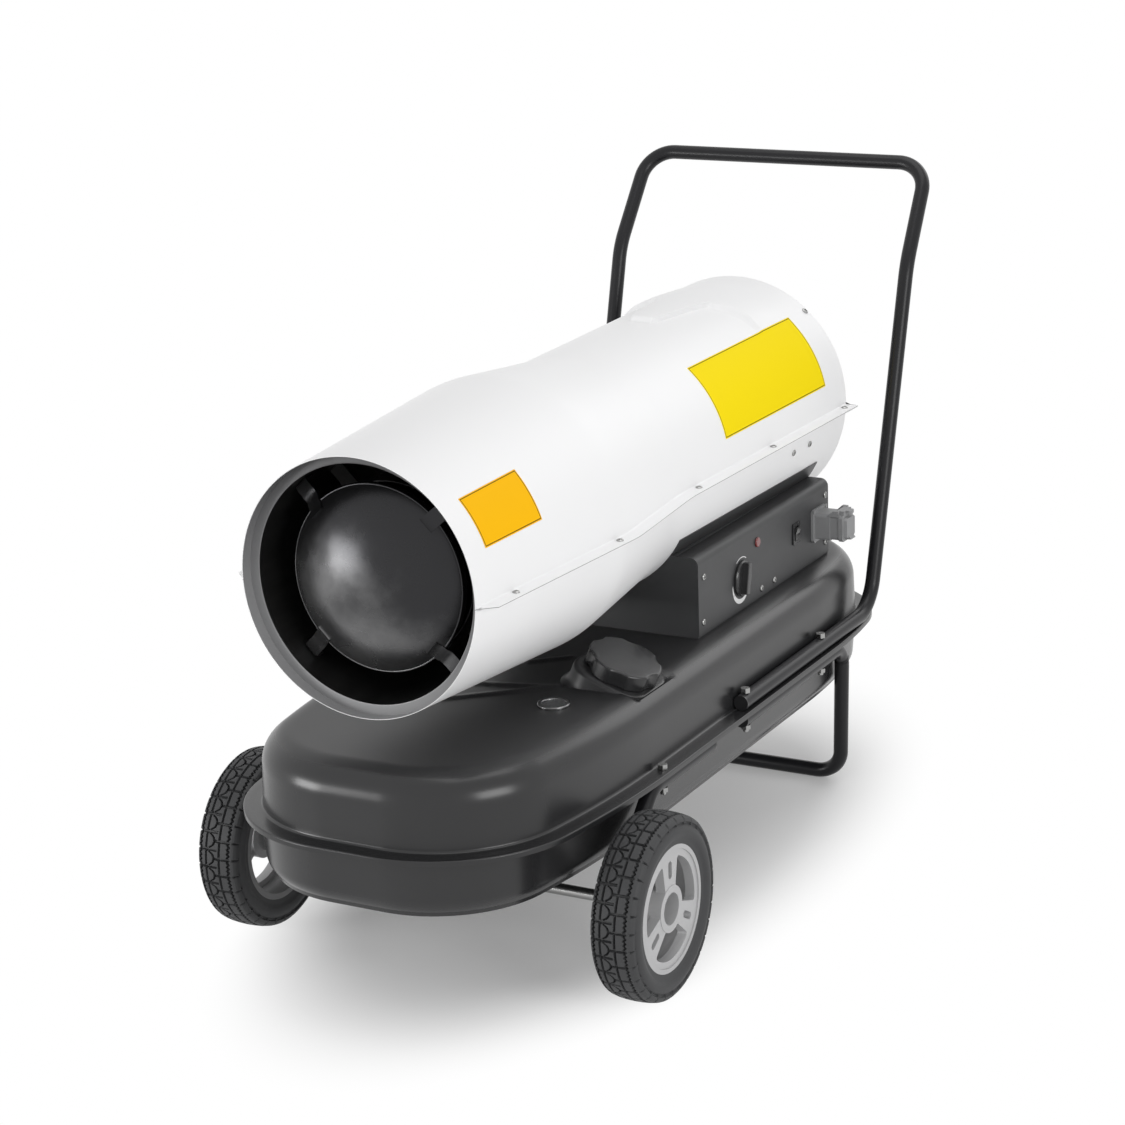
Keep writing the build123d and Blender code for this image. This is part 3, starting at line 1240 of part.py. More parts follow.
def inlet_socket():
    """The inlet: a screwed flange, a body that steps down to its mouth, and the lid's ears."""
    body = extrude(panel_plane(INLET, 0) * square(INLET_A), INLET_FLANGE)
    body += extrude(panel_plane(INLET, -INLET_BACK) * square(INLET_BODY),
                    INLET_BACK + INLET_OUT - INLET_NECK_L)
    mouth = INLET_BODY - 2 * INLET_NECK
    body += extrude(panel_plane(INLET, 0) * square(mouth), INLET_OUT)
    room = square(mouth - 2 * INLET_WALL, INLET_CORNER - INLET_WALL)
    part = body - extrude(panel_plane(INLET, INLET_OUT) * room, -INLET_OUT)
    pin_x, y, z = lid_axis()
    low = z - 1.6 * LID_PIN_R - INLET_NECK - 1
    back, front, top = pin_x - LID_EAR_L, pin_x + 1.8 * LID_PIN_R, z + 1.5 * LID_PIN_R
    side = make_face(Polyline((back, y, low), (front, y, low), (front, y, top),
                              (pin_x - 2 * LID_PIN_R, y, top), close=True))
    for s in (1, -1):
        ear = extrude(side, LID_EAR, dir=(0, s, 0))
        part += Pos(0, s * (INLET_BODY / 2 - LID_EAR), 0) * ear
    part -= rod((pin_x, y - INLET_A, z), (pin_x, y + INLET_A, z), LID_PIN_R + RUN)
    spot = (INLET_A + INLET_BODY) / 4 - INLET_SCREW_R / 4
    for dy in (-spot, spot):
        for dz in (-spot, spot):
            place = panel_plane((INLET[0] + dy, INLET[1] + dz), INLET_FLANGE)
            part += extrude(place * Circle(INLET_SCREW_R), INLET_SCREW_H)
    return part


def lid_axis():
    """The middle of the lid's pin."""
    return (PANEL_X + INLET_OUT - 1.8 * LID_PIN_R, INLET[0],
            TANK_TOP_Z + INLET[1] + INLET_BODY / 2 + 1.6 * LID_PIN_R)


def socket_pins():
    out = []
    y, z = INLET[0], TANK_TOP_Z + INLET[1]
    for dy, dz in ((-PIN_PITCH, -PIN_PITCH / 2), (PIN_PITCH, -PIN_PITCH / 2),
                   (0, PIN_PITCH)):
        out.append(rod((PANEL_X, y + dy, z + dz), (PANEL_X + PIN_L, y + dy, z + dz), PIN_R))
    return out


def socket_lid():
    """A thick lid that hangs on a pin over the inlet's mouth, with a crown, a finger lip at
    its foot and a finger piece at its top."""
    pin_x, y, z = lid_axis()
    x, out = PANEL_X + INLET_OUT + GAP, INLET_OUT + GAP
    lid = extrude(panel_plane(INLET, out) * square(INLET_BODY), LID_T)
    crown = panel_plane(INLET, out + LID_T) * square(LID_CROWN_A)
    lid += extrude(crown, LID_CROWN, taper=14)
    foot = TANK_TOP_Z + INLET[1] - LID_CROWN_A / 2
    lip = make_face(Polyline((x + LID_T, y, foot - LID_TAB / 2), (x + LID_T, y, foot + LID_TAB * 2),
                             (x + LID_T + LID_CROWN, y, foot + LID_TAB),
                             (x + LID_T + LID_CROWN + LID_TAB, y, foot - LID_TAB / 4),
                             close=True))
    lid += extrude(lip, LID_CROWN_A / 4, both=True)
    ear = INLET_BODY / 2 - LID_EAR - GAP
    low = z - 1.6 * LID_PIN_R
    knuckle = slab(pin_x, x + LID_T, y - ear, y + ear, low + GAP, z + LID_PIN_R * 1.25)
    knuckle += rod((pin_x, y - ear, z), (pin_x, y + ear, z), LID_PIN_R * 1.25)
    top = slab(x, x + LID_T, y - ear, y + ear, low - 3, z)
    loop = slab(x + LID_T - 1, x + LID_T + LID_LOOP, y - ear / 2, y + ear / 2,
                z - LID_PIN_R, z + LID_PIN_R * 1.25)
    loop = fillet(loop.edges().filter_by(Axis.Z).sort_by(Axis.X)[-2:], ear / 3)
    pin = rod((pin_x, y - INLET_BODY / 2, z), (pin_x, y + INLET_BODY / 2, z), LID_PIN_R)
    return lid + knuckle + top + loop + pin


def circuit_board():
    y0, y1, a, b = BOARD
    x0 = LEDGE_X + BOARD_OFF
    z0, z1 = TANK_TOP_Z + a, TANK_TOP_Z + b
    board = slab(x0, x0 + BOARD_T, y0, y1, z0, z1)
    for y in (y0 + 6, y1 - 6):
        for z in (z0 + 6, z1 - 6):
            board += rod((LEDGE_X, y, z), (x0, y, z), 3)
    board += slab(x0 + BOARD_T, x0 + 15, y0 + 14, y0 + 34, z0 + 12, z0 + 34)
    board += slab(x0 + BOARD_T, x0 + 12, y1 - 44, y1 - 14, z0 + 20, z0 + 44)
    return board


def ignition_transformer():
    y0, y1, x0, x1 = COIL
    z = TANK_TOP_Z
    part = slab(x0, x1, y0, y1, z, z + COIL_H)
    for x in (x0 + 20, x1 - 20):
        part += rod((x, y0, z + COIL_H / 2), (x, y0 - 12, z + COIL_H / 2), 6)
    return part


def fuel_line():
    end = Vector(0, CHAMBER_Y[1] + HOLDER_L + 0, AXIS_Z)
    pts = [Vector(0, FUEL_LINE_Y, PAN_Z + SHEET + SPINDLE_FLOOR), Vector(0, FUEL_LINE_Y, AXIS_Z),
           Vector(0, CHAMBER_Y[1] - HEAD_T + NOZZLE_L, AXIS_Z)]
    path = FilletPolyline(*pts, radius=LINE_R * 6)
    start = Plane(origin=path @ 0, z_dir=path % 0)
    return sweep(start * Circle(LINE_R), path=path)


def air_line():
    y_p = MOTOR_Y[1] + PUMP_L / 2
    r_run = (FAN_R + BARREL[2][1] - BARREL_WALL) / 2
    a = AIR_LINE_DEG
    y_h = CHAMBER_Y[1] + HOLDER_L * 0.7
    pts = [radial(a, y_p, PUMP_R + 8), radial(a, y_p, r_run), radial(a, y_h, r_run),
           radial(a, y_h, HOLDER_R)]
    path = FilletPolyline(*pts, radius=LINE_R * 5)
    start = Plane(origin=path @ 0, z_dir=path % 0)
    return sweep(start * Circle(LINE_R), path=path)


def build():
    """Every piece of the heater under its name."""
    tyre_r, rim_r, bush_r, strut_r = tyre(), rim(), bush(), axle_strut()
    return {
        "tank_lower_pan": tank_lower_pan(), "tank_upper_shell": tank_upper_shell(),
        "drain_plug": drain_plug(), "filler_neck": filler_neck(),
        "filler_strainer": filler_strainer(), "fuel_cap_seal": fuel_cap_seal(),
        "fuel_cap": fuel_cap(), "gauge_bezel": gauge_bezel(), "gauge_lens": gauge_lens(),
        "gauge_pointer": gauge_pointer(), "gauge_float": gauge_float(),
        "handle_tube": handle_tube(), "rear_leg": rear_leg(),
        "axle_strut_right": strut_r, "axle_strut_left": mirrored(strut_r),
        "frame_bolts": frame_bolts(), "frame_nuts": frame_nuts(),
        "tube_plugs": tube_plugs(), "axle": axle(), "axle_spacers": axle_spacers(),
        "axle_clips": axle_clips(), "tyre_right": tyre_r, "tyre_left": mirrored(tyre_r),
        "rim_right": rim_r, "rim_left": mirrored(rim_r), "bush_right": bush_r,
        "bush_left": mirrored(bush_r), "barrel_lower_shell": barrel_half(False),
        "barrel_upper_shell": barrel_half(True), "barrel_screws": barrel_screws(),
        "flame_liner": flame_liner(), "combustion_chamber": combustion_chamber(),
        "chamber_brackets": chamber_brackets(), "flame_dome": flame_dome(),
        "burner_head": burner_head(), "fuel_nozzle": fuel_nozzle(),
        "ignition_electrodes": ignition_electrodes(), "flame_sensor": flame_sensor(),
        "fan": fan(), "motor_shaft": motor_shaft(), "motor_body": motor_body(),
        "motor_bracket": motor_bracket(), "air_pump": air_pump(),
        "inlet_guard": inlet_guard(), "pedestal": pedestal(),
        "control_cover": control_cover(), "cover_screws": cover_screws(),
        "thermostat_body": thermostat_body(), "thermostat_knob": thermostat_knob(),
        "pilot_lamp": pilot_lamp(), "switch_bezel": switch_bezel(),
        "switch_rocker": switch_rocker(), "inlet_socket": inlet_socket(),
        "socket_pins": socket_pins(), "socket_lid": socket_lid(),
        "circuit_board": circuit_board(), "ignition_transformer": ignition_transformer(),
        "fuel_line": fuel_line(), "air_line": air_line(),
    }


def main():
    """Set the heater down with the middle of its footprint on the origin and write it."""
    os.makedirs("parts", exist_ok=True)
    front = TANK_NOSE_Y
    rear = HANDLE_TOP[1] + TUBE_R
    home = Pos(0, -(front + rear) / 2, 0)
    for name, shape in build().items():
        pieces = shape if isinstance(shape, (list, tuple)) else [shape]
        solids = [home * s for piece in pieces for s in piece.solids()]
        export_step(Compound(children=solids) if len(solids) > 1 else solids[0],
                    "parts/" + name + ".step")


main()
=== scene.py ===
"""The looks of a forced air heater on wheels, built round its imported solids.

Lengths in this file are millimetres counted from the axle, as they were measured: x to the
side with the controls, y from the outlet to the fan end, z up from the floor. place() turns
them into the metres of the frame.
"""

import json

import bmesh
import bpy
import numpy as np
from bpy.props import FloatProperty, FloatVectorProperty, IntProperty, PointerProperty
from mathutils import Matrix, Vector


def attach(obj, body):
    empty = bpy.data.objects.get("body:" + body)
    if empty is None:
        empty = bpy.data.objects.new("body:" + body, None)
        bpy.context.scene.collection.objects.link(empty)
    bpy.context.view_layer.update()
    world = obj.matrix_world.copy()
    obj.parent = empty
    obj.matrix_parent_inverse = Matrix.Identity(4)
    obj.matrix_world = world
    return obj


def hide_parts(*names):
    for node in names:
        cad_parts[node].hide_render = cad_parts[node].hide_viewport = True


bl_info = {
    "name": "Forced air heater",
    "version": (1, 0, 0),
    "blender": (4, 5, 0),
    "location": "View3D > Sidebar > Heater",
    "description": "Builds a forced air heater on wheels piece by piece",
    "category": "Add Mesh",
}

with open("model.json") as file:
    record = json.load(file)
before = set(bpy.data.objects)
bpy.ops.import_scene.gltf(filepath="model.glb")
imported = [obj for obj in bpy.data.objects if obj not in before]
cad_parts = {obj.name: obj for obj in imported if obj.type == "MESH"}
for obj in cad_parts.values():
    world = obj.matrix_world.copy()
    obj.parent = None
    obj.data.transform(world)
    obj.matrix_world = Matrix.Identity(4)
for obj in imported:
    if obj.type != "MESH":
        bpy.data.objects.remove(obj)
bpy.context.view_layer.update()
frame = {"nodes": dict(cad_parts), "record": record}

# ---- measured places, as the solids have them ----
HOME_Y = 438.45
TUBE_R = 11.4
TUBE_X = 247.7
FLANGE_Z = 257.0
SHEET = 1.5
TOP_Z = 358.0
PAN_Z = 166.0
AXIS_Z = 586.5
SEAM_Z = 580.0
WALL = 1.2
BARREL = ((-202.4, 173.3), (163.9, 197.1), (367.2, 177.2), (944.5, 186.5))
WHEEL_X = 306.15
WHEEL_R = 127.0
PANEL_X = 185.0
TILT = np.radians(22.0)
BOSS = np.array((160.5, 206.0, 369.9))
BOSS_A = np.array((np.cos(TILT), 0.0, -np.sin(TILT)))
BOSS_B = np.array((0.0, 1.0, 0.0))
BOSS_N = np.array((np.sin(TILT), 0.0, np.cos(TILT)))


def colour(name, value, text):
    return FloatVectorProperty(name=name, description=text, default=value, size=3,
                               subtype="COLOR", min=0.0, max=1.0)


class HeaterPaint(bpy.types.PropertyGroup):
    """Colours of the heater's finishes."""

    barrel: colour("Barrel", (0.86, 0.86, 0.865), "Gloss paint of the barrel")
    tank: colour("Tank", (0.0185, 0.0185, 0.0195), "Satin paint of the tank")
    tube: colour("Tubes", (0.012, 0.012, 0.0135), "Paint of the bent tubes")
    box: colour("Control box", (0.038, 0.0385, 0.04), "Matt paint of the control box")
    rim: colour("Rims", (0.44, 0.44, 0.445), "Moulded wheel rims")
    tyre: colour("Tyres", (0.029, 0.0295, 0.031), "Tyre rubber")
    socket: colour("Inlet", (0.25, 0.252, 0.256), "Plastic of the inlet and its lid")
    front_plate: colour("Front plate", (0.93, 0.49, 0.004), "Plain plate by the outlet")
    rear_plate: colour("Rear plate", (0.93, 0.72, 0.002), "Plain plate by the fan end")


class HeaterSizes(bpy.types.PropertyGroup):
    """Sizes of the details that only the looks have."""

    blocks: IntProperty(name="Tread blocks", default=32, min=12, max=80,
                        description="Blocks round the tyre")
    tread: FloatProperty(name="Tread depth", default=4.2, min=1.0, max=6.0,
                         description="Depth of the grooves in millimetres")
    crease: FloatProperty(name="Crease width", default=6.0, min=1.0, max=40.0,
                          description="How softly the barrel bends, in millimetres")
    peel: FloatProperty(name="Paint texture", default=0.25, min=0.0, max=1.0,
                        description="Strength of the paint's fine waviness")
    surround: FloatProperty(name="Surround", default=0.45, min=0.0, max=1.0,
                            description="How strongly the white surround lights")
    camera_turn: FloatProperty(name="Camera turn", default=28.7, description="Degrees")
    camera_rise: FloatProperty(name="Camera rise", default=16.68, description="Degrees")
    camera_roll: FloatProperty(name="Camera roll", default=-1.98, description="Degrees")
    camera_away: FloatProperty(name="Camera distance", default=4.1679, unit="LENGTH",
                               description="From the point looked at")
    lens: FloatProperty(name="Lens", default=92.45, description="Millimetres on 36 wide")


def paint():
    return bpy.context.scene.heater_paint


def sizes():
    return bpy.context.scene.heater_sizes


# ---- shaders ----
# the colour sockets of a Mix node, which share their names with its others
MIX_A, MIX_B, MIX_OUT = 6, 7, 2


class Signal:
    """A number in a material. Expressions on it add the Math nodes."""

    def __init__(self, tree, socket):
        self.tree, self.socket = tree, socket

    def math(self, operation, a, b=None):
        node = self.tree.nodes.new("ShaderNodeMath")
        node.operation = operation
        for slot, value in zip(node.inputs, (a, b)):
            if isinstance(value, Signal):
                self.tree.links.new(value.socket, slot)
            elif value is not None:
                slot.default_value = value
        return Signal(self.tree, node.outputs[0])

    def __add__(self, other):
        return self.math("ADD", self, other)

    def __sub__(self, other):
        return self.math("SUBTRACT", self, other)

    def __rsub__(self, other):
        return self.math("SUBTRACT", other, self)

    def __mul__(self, other):
        return self.math("MULTIPLY", self, other)

    def __truediv__(self, other):
        return self.math("DIVIDE", self, other)

    def __pow__(self, other):
        return self.math("POWER", self, other)

    def most(self, other):
        return self.math("MAXIMUM", self, other)

    def size(self):
        return self.math("ABSOLUTE", self)

    def step(self, low, high):
        """0 under low, 1 over high and smooth between."""
        node = self.tree.nodes.new("ShaderNodeMapRange")
        node.interpolation_type = "SMOOTHSTEP"
        self.tree.links.new(self.socket, node.inputs["Value"])
        node.inputs["From Min"].default_value = low
        node.inputs["From Max"].default_value = high
        return Signal(self.tree, node.outputs[0])


class Finish:
    """A material: one Principled shader and the nodes that feed it."""

    def __init__(self, name, base, rough, metal=0.0, **fixed):
        self.material = bpy.data.materials.new(name)
        self.material.use_nodes = True
        self.tree = self.material.node_tree
        self.shader = self.tree.nodes["Principled BSDF"]
        self.put("Base Color", base)
        self.put("Roughness", rough)
        self.put("Metallic", metal)
        for key, value in fixed.items():
            self.put(key.replace("_", " "), value)
        self.object = None

    def put(self, name, value):
        self.join(self.shader.inputs[name], value)

    def join(self, slot, value):
        if isinstance(value, Signal):
            self.tree.links.new(value.socket, slot)
        elif isinstance(value, bpy.types.NodeSocket):
            self.tree.links.new(value, slot)
        elif slot.type == "RGBA":
            slot.default_value = (*tuple(value)[:3], 1.0)
        else:
            slot.default_value = value

    def node(self, kind, settings=None, values=None, output=0):
        """Any other node: its settings first, then the values or links of its sockets."""
        node = self.tree.nodes.new("ShaderNode" + kind)
        for key, value in (settings or {}).items():
            setattr(node, key, value)
        for key, value in (values or {}).items():
            self.join(node.inputs[key], value)
        return node.outputs[output]

    def place(self):
        if self.object is None:
            self.object = self.node("TexCoord", output="Object")
        return self.object

    def axis(self, letter):
        """One coordinate in millimetres of the frame."""
        split = self.node("SeparateXYZ", values={"Vector": self.place()}, output=letter)
        return Signal(self.tree, split) * 1000.0

    def noise(self, scale, detail=3.0, rough=0.5, stretch=None):
        where = self.place()
        if stretch:
            where = self.node("Mapping", values={"Vector": where, "Scale": stretch})
        return Signal(self.tree, self.node("TexNoise", values={
            "Vector": where, "Scale": scale, "Detail": detail, "Roughness": rough}))

    def blend(self, factor, a, b):
        """Colour a where the factor is 0 and b where it is 1."""
        node = self.tree.nodes.new("ShaderNodeMix")
        node.data_type = "RGBA"
        self.join(node.inputs["Factor"], factor)
        self.join(node.inputs[MIX_A], a)
        self.join(node.inputs[MIX_B], b)
        return node.outputs[MIX_OUT]

    def mottle(self, factor, base, low, high):
        """The base colour times low where the factor is 0 and times high where it is 1."""
        self.put("Base Color", self.blend(factor, tint(base, low), tint(base, high)))

    def cover(self, shader, factor):
        """Another shader over this one, where factor is 1."""
        mix = self.tree.nodes.new("ShaderNodeMixShader")
        self.join(mix.inputs["Fac"], factor)
        self.tree.links.new(self.shader.outputs[0], mix.inputs[1])
        self.tree.links.new(shader, mix.inputs[2])
        self.tree.links.new(mix.outputs[0],
                            self.tree.nodes["Material Output"].inputs["Surface"])

    def relief(self, height, distance, strength=1.0):
        """Bump from a height signal; distance is in metres."""
        self.put("Normal", self.node("Bump", values={
            "Height": height, "Distance": distance, "Strength": strength}))
        return self

    def painted(self, peel=None, scale=420.0, wear=0.04):
        """Fine waviness of sprayed paint and a slow change of gloss."""
        peel = sizes().peel if peel is None else peel
        rough = self.shader.inputs["Roughness"].default_value
        slow = self.noise(9.0, 4.0)
        self.put("Roughness", slow * wear + (rough - wear / 2))
        return self.relief(self.noise(scale, 2.0), 0.00012, peel)


def seen_by_eye(tree):
    """1 for rays from the camera, from gloss and through glass, and 0 for the rest."""
    path = tree.nodes.new("ShaderNodeLightPath")
    camera, glossy, through = (Signal(tree, path.outputs[name]) for name in (
        "Is Camera Ray", "Is Glossy Ray", "Is Transmission Ray"))
    return camera.most(glossy).most(through)


def tint(base, factor):
    return tuple(min(1.0, c * factor) for c in tuple(base)[:3])


FINISHES = {}


def finish(name):
    """The finish of that name, made when first asked for."""
    if name not in FINISHES:
        made = plain(*PLAIN[name]) if name in PLAIN else MAKERS[name]()
        FINISHES[name] = made.material
    return FINISHES[name]


def white_paint():
    """White outside, bare on the inner side of the outlet's lip, where painted light and shade
    make it pale low on the left and dark at the top right, and dark in the joint between the
    seam flanges."""
    m = Finish("satin_white_paint", paint().barrel, 0.4)
    tone = m.blend(m.noise(3.0, 3.0), tint(paint().barrel, 0.985), paint().barrel)
    x, y, z = m.axis("X"), m.axis("Y"), m.axis("Z") - AXIS_Z
    cone = (y + (HOME_Y - BARREL[0][0])) * 0.065
    outside = ((x * x + z * z) ** 0.5 - cone).step(172.5, 172.9)
    joint = (z - (SEAM_Z - AXIS_Z)).size()
    tone = m.blend(joint.step(0.25, 0.6), (0.2, 0.2, 0.2), tone)
    # the inner side of the outlet's lip takes the rim colour with its painted light and shade
    m.put("Base Color", m.blend(outside.most(y.step(-600.0, -590.0)), painted_outlet_shade(m), tone))
    return m.painted(scale=260.0)


def painted_outlet_shade(m):
    """Colour of the outlet's bare rim, with painted light and shade: paler low and to the
    left, darker high and to the right.
    """
    # painted light and shade: the lean runs from the dark upper right to the pale lower left
    lean = m.axis("X") * -0.5 + (m.axis("Z") - AXIS_Z) * -1.0
    return m.blend(lean.step(-170.0, 170.0), (0.05, 0.05, 0.052), (0.3, 0.3, 0.305))


def tank_paint():
    """Gloss on the walls and shoulders, and duller with dust on the flat top."""
    m = Finish("satin_black_tank_paint", paint().tank, 0.26, Specular_IOR_Level=0.45)
    m.mottle(m.noise(6.0, 5.0), paint().tank, 0.85, 1.2)
    m.painted(scale=330.0, peel=0.12)
    dusty = m.axis("Z").step(TOP_Z - 9.0, TOP_Z - 1.0)
    m.put("Roughness", m.noise(9.0, 4.0) * 0.06 + dusty * 0.17 + 0.22)
    return m


def tube_paint():
    m = Finish("black_tube_paint", paint().tube, 0.3, Specular_IOR_Level=0.24)
    m.mottle(m.noise(14.0, 4.0), paint().tube, 0.85, 1.25)
    return m.painted(scale=500.0, peel=0.12)


def box_paint():
    m = Finish("matt_black_box_paint", paint().box, 0.46, Specular_IOR_Level=0.4)
    m.mottle(m.noise(12.0, 4.0), paint().box, 0.9, 1.15)
    m.put("Roughness", m.noise(30.0) * 0.08 + 0.4)
    return m.relief(m.noise(900.0, 2.0), 0.00015, 0.35)


def heat_steel():
    m = Finish("heat_darkened_steel", (0.06, 0.06, 0.062), 0.42, 0.75)
    blotch = m.noise(16.0, 6.0, 0.6).step(0.35, 0.7)
    soot = m.noise(55.0, 4.0, 0.6)
    warm = m.blend(blotch, (0.045, 0.044, 0.045), (0.12, 0.115, 0.11))
    m.put("Base Color", m.blend(soot * 0.5, warm, (0.03, 0.03, 0.032)))
    m.put("Roughness", blotch * 0.18 + soot * 0.15 + 0.26)
    return m.relief(soot, 0.0003, 0.25)


def dome_steel():
    """Heat-darkened steel with random blotches, and a painted reflection of the bright floor:
    paler towards the lower left and darker towards the upper right.
    """
    m = Finish("burnt_dome_steel", (0.05, 0.05, 0.052), 0.32, 0.85)
    blotch = m.noise(13.0, 6.0, 0.6)
    lean = m.axis("X") * -0.003 + (m.axis("Z") - AXIS_Z) * -0.004
    # painted reflection: paler low on the left, where the floor would reflect, mixed with the
    # blotches
    painted_floor_reflection = (lean + blotch * 0.9).step(0.2, 1.05)
    m.put("Base Color", m.blend(painted_floor_reflection, (0.034, 0.034, 0.036), (0.18, 0.18, 0.182)))
    m.put("Roughness", blotch.step(0.3, 0.7) * 0.1 + 0.22)
    return m.relief(m.noise(60.0, 4.0, 0.6), 0.0003, 0.2)


def liner_steel():
    """Soot-dark sheet inside, with a bare rim at the outlet that carries painted light and
    shade, pale low on the left and dark at the top right.
    """
    m = Finish("dark_liner_steel", (0.05, 0.05, 0.052), 0.38)
    streak = m.noise(40.0, 5.0, 0.6, (1.0, 0.12, 1.0))
    deep = m.axis("Y").step(-620.0, -616.0)
    soot = m.blend(streak, (0.022, 0.022, 0.023), (0.07, 0.069, 0.067))
    # the outlet rim gets the painted light and shade, the deeper sheet its soot streaks
    m.put("Base Color", m.blend(deep, painted_outlet_shade(m), soot))
    m.put("Metallic", deep * 0.8)
    m.put("Roughness", streak * 0.25 + 0.28)
    return m.relief(streak, 0.0002, 0.2)


def zinc():
    m = Finish("zinc_plated_steel", (0.36, 0.36, 0.355), 0.26, 1.0)
    tone = m.noise(45.0, 3.0)
    m.put("Base Color", m.blend(tone, (0.29, 0.29, 0.29), (0.43, 0.43, 0.42)))
    m.put("Roughness", tone * 0.12 + 0.2)
    return m.relief(m.noise(300.0), 0.0001, 0.1)


def bright_steel():
    m = Finish("rolled_steel", (0.45, 0.45, 0.45), 0.35, 1.0)
    streak = m.noise(60.0, 4.0, 0.6, (1.0, 0.1, 1.0))
    m.put("Roughness", streak * 0.25 + 0.25)
    return m.relief(streak, 0.0001, 0.2)


def rubber():
    m = Finish("tyre_rubber", paint().tyre, 0.7)
    dust = m.noise(60.0, 5.0, 0.6)
    m.mottle(dust, paint().tyre, 0.8, 1.5)
    m.put("Roughness", dust * 0.2 + 0.55)
    return m.relief(m.noise(1400.0, 2.0), 0.0002, 0.3)


def rim_plastic():
    """Grey, with painted shade: darker in the depth behind the spokes."""
    m = Finish("grey_rim_plastic", paint().rim, 0.42)
    tone = m.noise(20.0, 4.0)
    # painted shade: inboard of the outer face the grey drops to 0.42 of its tone
    face = m.axis("X").size().step(WHEEL_X - 14.0, WHEEL_X + 6.0)
    pale = m.blend(tone, tint(paint().rim, 0.93), tint(paint().rim, 1.06))
    m.put("Base Color", m.blend(face, tint(paint().rim, 0.42), pale))
    return m.painted(scale=700.0, peel=0.3)


def aluminium():
    m = Finish("pressed_aluminium", (0.62, 0.62, 0.63), 0.35, 1.0)
    streak = m.noise(90.0, 4.0, 0.6, (0.2, 1.0, 1.0))
    m.put("Roughness", streak * 0.2 + 0.25)
    return m.relief(streak, 0.0001, 0.15)


def grey_paint():
    m = Finish("grey_motor_paint", (0.1, 0.105, 0.11), 0.42)
    return m.painted(peel=0.5)


EDGE_LINE = 2.2
FRONT_HALVES, REAR_HALVES = (66.0, 37.0), (175.0, 61.0)


def plate_finish(name, base, x_half, y_half):
    """A plain plate with a dark line just inside its edge, drawn on its own UV map. Its halves
    are millimetres. The line lies EDGE_LINE in from each edge."""
    m = Finish(name, base, 0.6, Specular_IOR_Level=0.05)
    uv = m.node("UVMap", {"uv_map": "plate"})

    def line_and_inside(letter, half):
        split = m.node("SeparateXYZ", values={"Vector": uv}, output=letter)
        out = (Signal(m.tree, split) - 0.5).size() * (2.0 * half)
        on = 1.0 - (out - (half - EDGE_LINE)).size().step(0.5, 0.8)
        return on, 1.0 - (out - (half - EDGE_LINE + 0.2)).step(0.0, 0.2)

    on_u, in_u = line_and_inside("X", x_half)
    on_v, in_v = line_and_inside("Y", y_half)
    line = (on_u * in_v).most(on_v * in_u)
    m.put("Base Color", m.blend(line * 0.9, base, (0.03, 0.025, 0.01)))
    m.put("Roughness", m.noise(60.0) * 0.08 + 0.5)
    return m


def front_plate():
    return plate_finish("plain_amber_plate", paint().front_plate, *FRONT_HALVES)


def rear_plate():
    return plate_finish("plain_yellow_plate", paint().rear_plate, *REAR_HALVES)


def inlet_tone():
    return tuple(paint().socket)


# name, colour or what gives it, metal, noise of the gloss, least roughness and its range,
# noise, depth and strength of the relief, and other sockets
PLAIN = {
    "seal_rubber": ("black_seal_rubber", (0.03, 0.03, 0.03), 0.0, None, (0.6, 0.0),
                    ((900.0,), 0.0002, 0.25), {}),
    "black_plastic": ("black_moulded_plastic", (0.022, 0.022, 0.023), 0.0, (70.0,),
                      (0.38, 0.12), ((1500.0, 2.0), 0.00015, 0.4), {}),
    "cap_plastic": ("glossy_cap_plastic", (0.02, 0.02, 0.021), 0.0, (40.0, 4.0),
                    (0.16, 0.14), ((90.0,), 0.0002, 0.25), {}),
    "grey_plastic": ("grey_inlet_plastic", inlet_tone, 0.0, (60.0,), (0.4, 0.1),
                     ((1300.0, 2.0), 0.00015, 0.35), {}),
    "chrome": ("dull_chrome", (0.22, 0.22, 0.222), 1.0, (80.0,), (0.2, 0.1), None, {}),
    "clear": ("clear_window", (0.72, 0.73, 0.74), 0.0, (60.0,), (0.08, 0.06), None,
              {"Transmission Weight": 0.93, "IOR": 1.45}),
    "red_plastic": ("red_plastic", (0.42, 0.012, 0.01), 0.0, (90.0,), (0.22, 0.1), None, {}),
    "dark_red_lens": ("unlit_red_lens", (0.16, 0.006, 0.006), 0.0, (90.0,), (0.15, 0.06),
                      None, {"Coat Weight": 0.5}),
    "dial_print": ("white_dial_print", (0.8, 0.8, 0.8), 0.0, (200.0,), (0.45, 0.1), None, {}),
    "gauge_face": ("gauge_face", (0.75, 0.75, 0.74), 0.0, (200.0,), (0.45, 0.1), None, {}),
    "brass": ("turned_brass", (0.62, 0.44, 0.18), 1.0, (150.0,), (0.2, 0.15), None, {}),
    "copper": ("copper_pipe", (0.62, 0.3, 0.18), 1.0, (120.0,), (0.22, 0.2), None, {}),
    "ceramic": ("glazed_ceramic", (0.75, 0.73, 0.68), 0.0, (150.0,), (0.2, 0.1), None, {}),
    "board": ("green_laminate", (0.012, 0.11, 0.04), 0.0, (300.0,), (0.3, 0.1), None, {})}


def plain(name, base, metal, gloss, rough, bump, other):
    """A finish of one colour whose gloss changes slowly over it."""
    m = Finish(name, base() if callable(base) else base, rough[0], metal)
    for socket, value in other.items():
        m.put(socket, value)
    if gloss:
        m.put("Roughness", m.noise(*gloss) * rough[1] + rough[0])
    if bump:
        grain, depth, strength = bump
        m.relief(m.noise(*grain), depth, strength)
    return m


MAKERS = {f.__name__: f for f in (
    white_paint, tank_paint, tube_paint, box_paint, heat_steel, dome_steel, liner_steel, zinc,
    bright_steel, rubber, rim_plastic, aluminium, grey_paint, front_plate, rear_plate)}

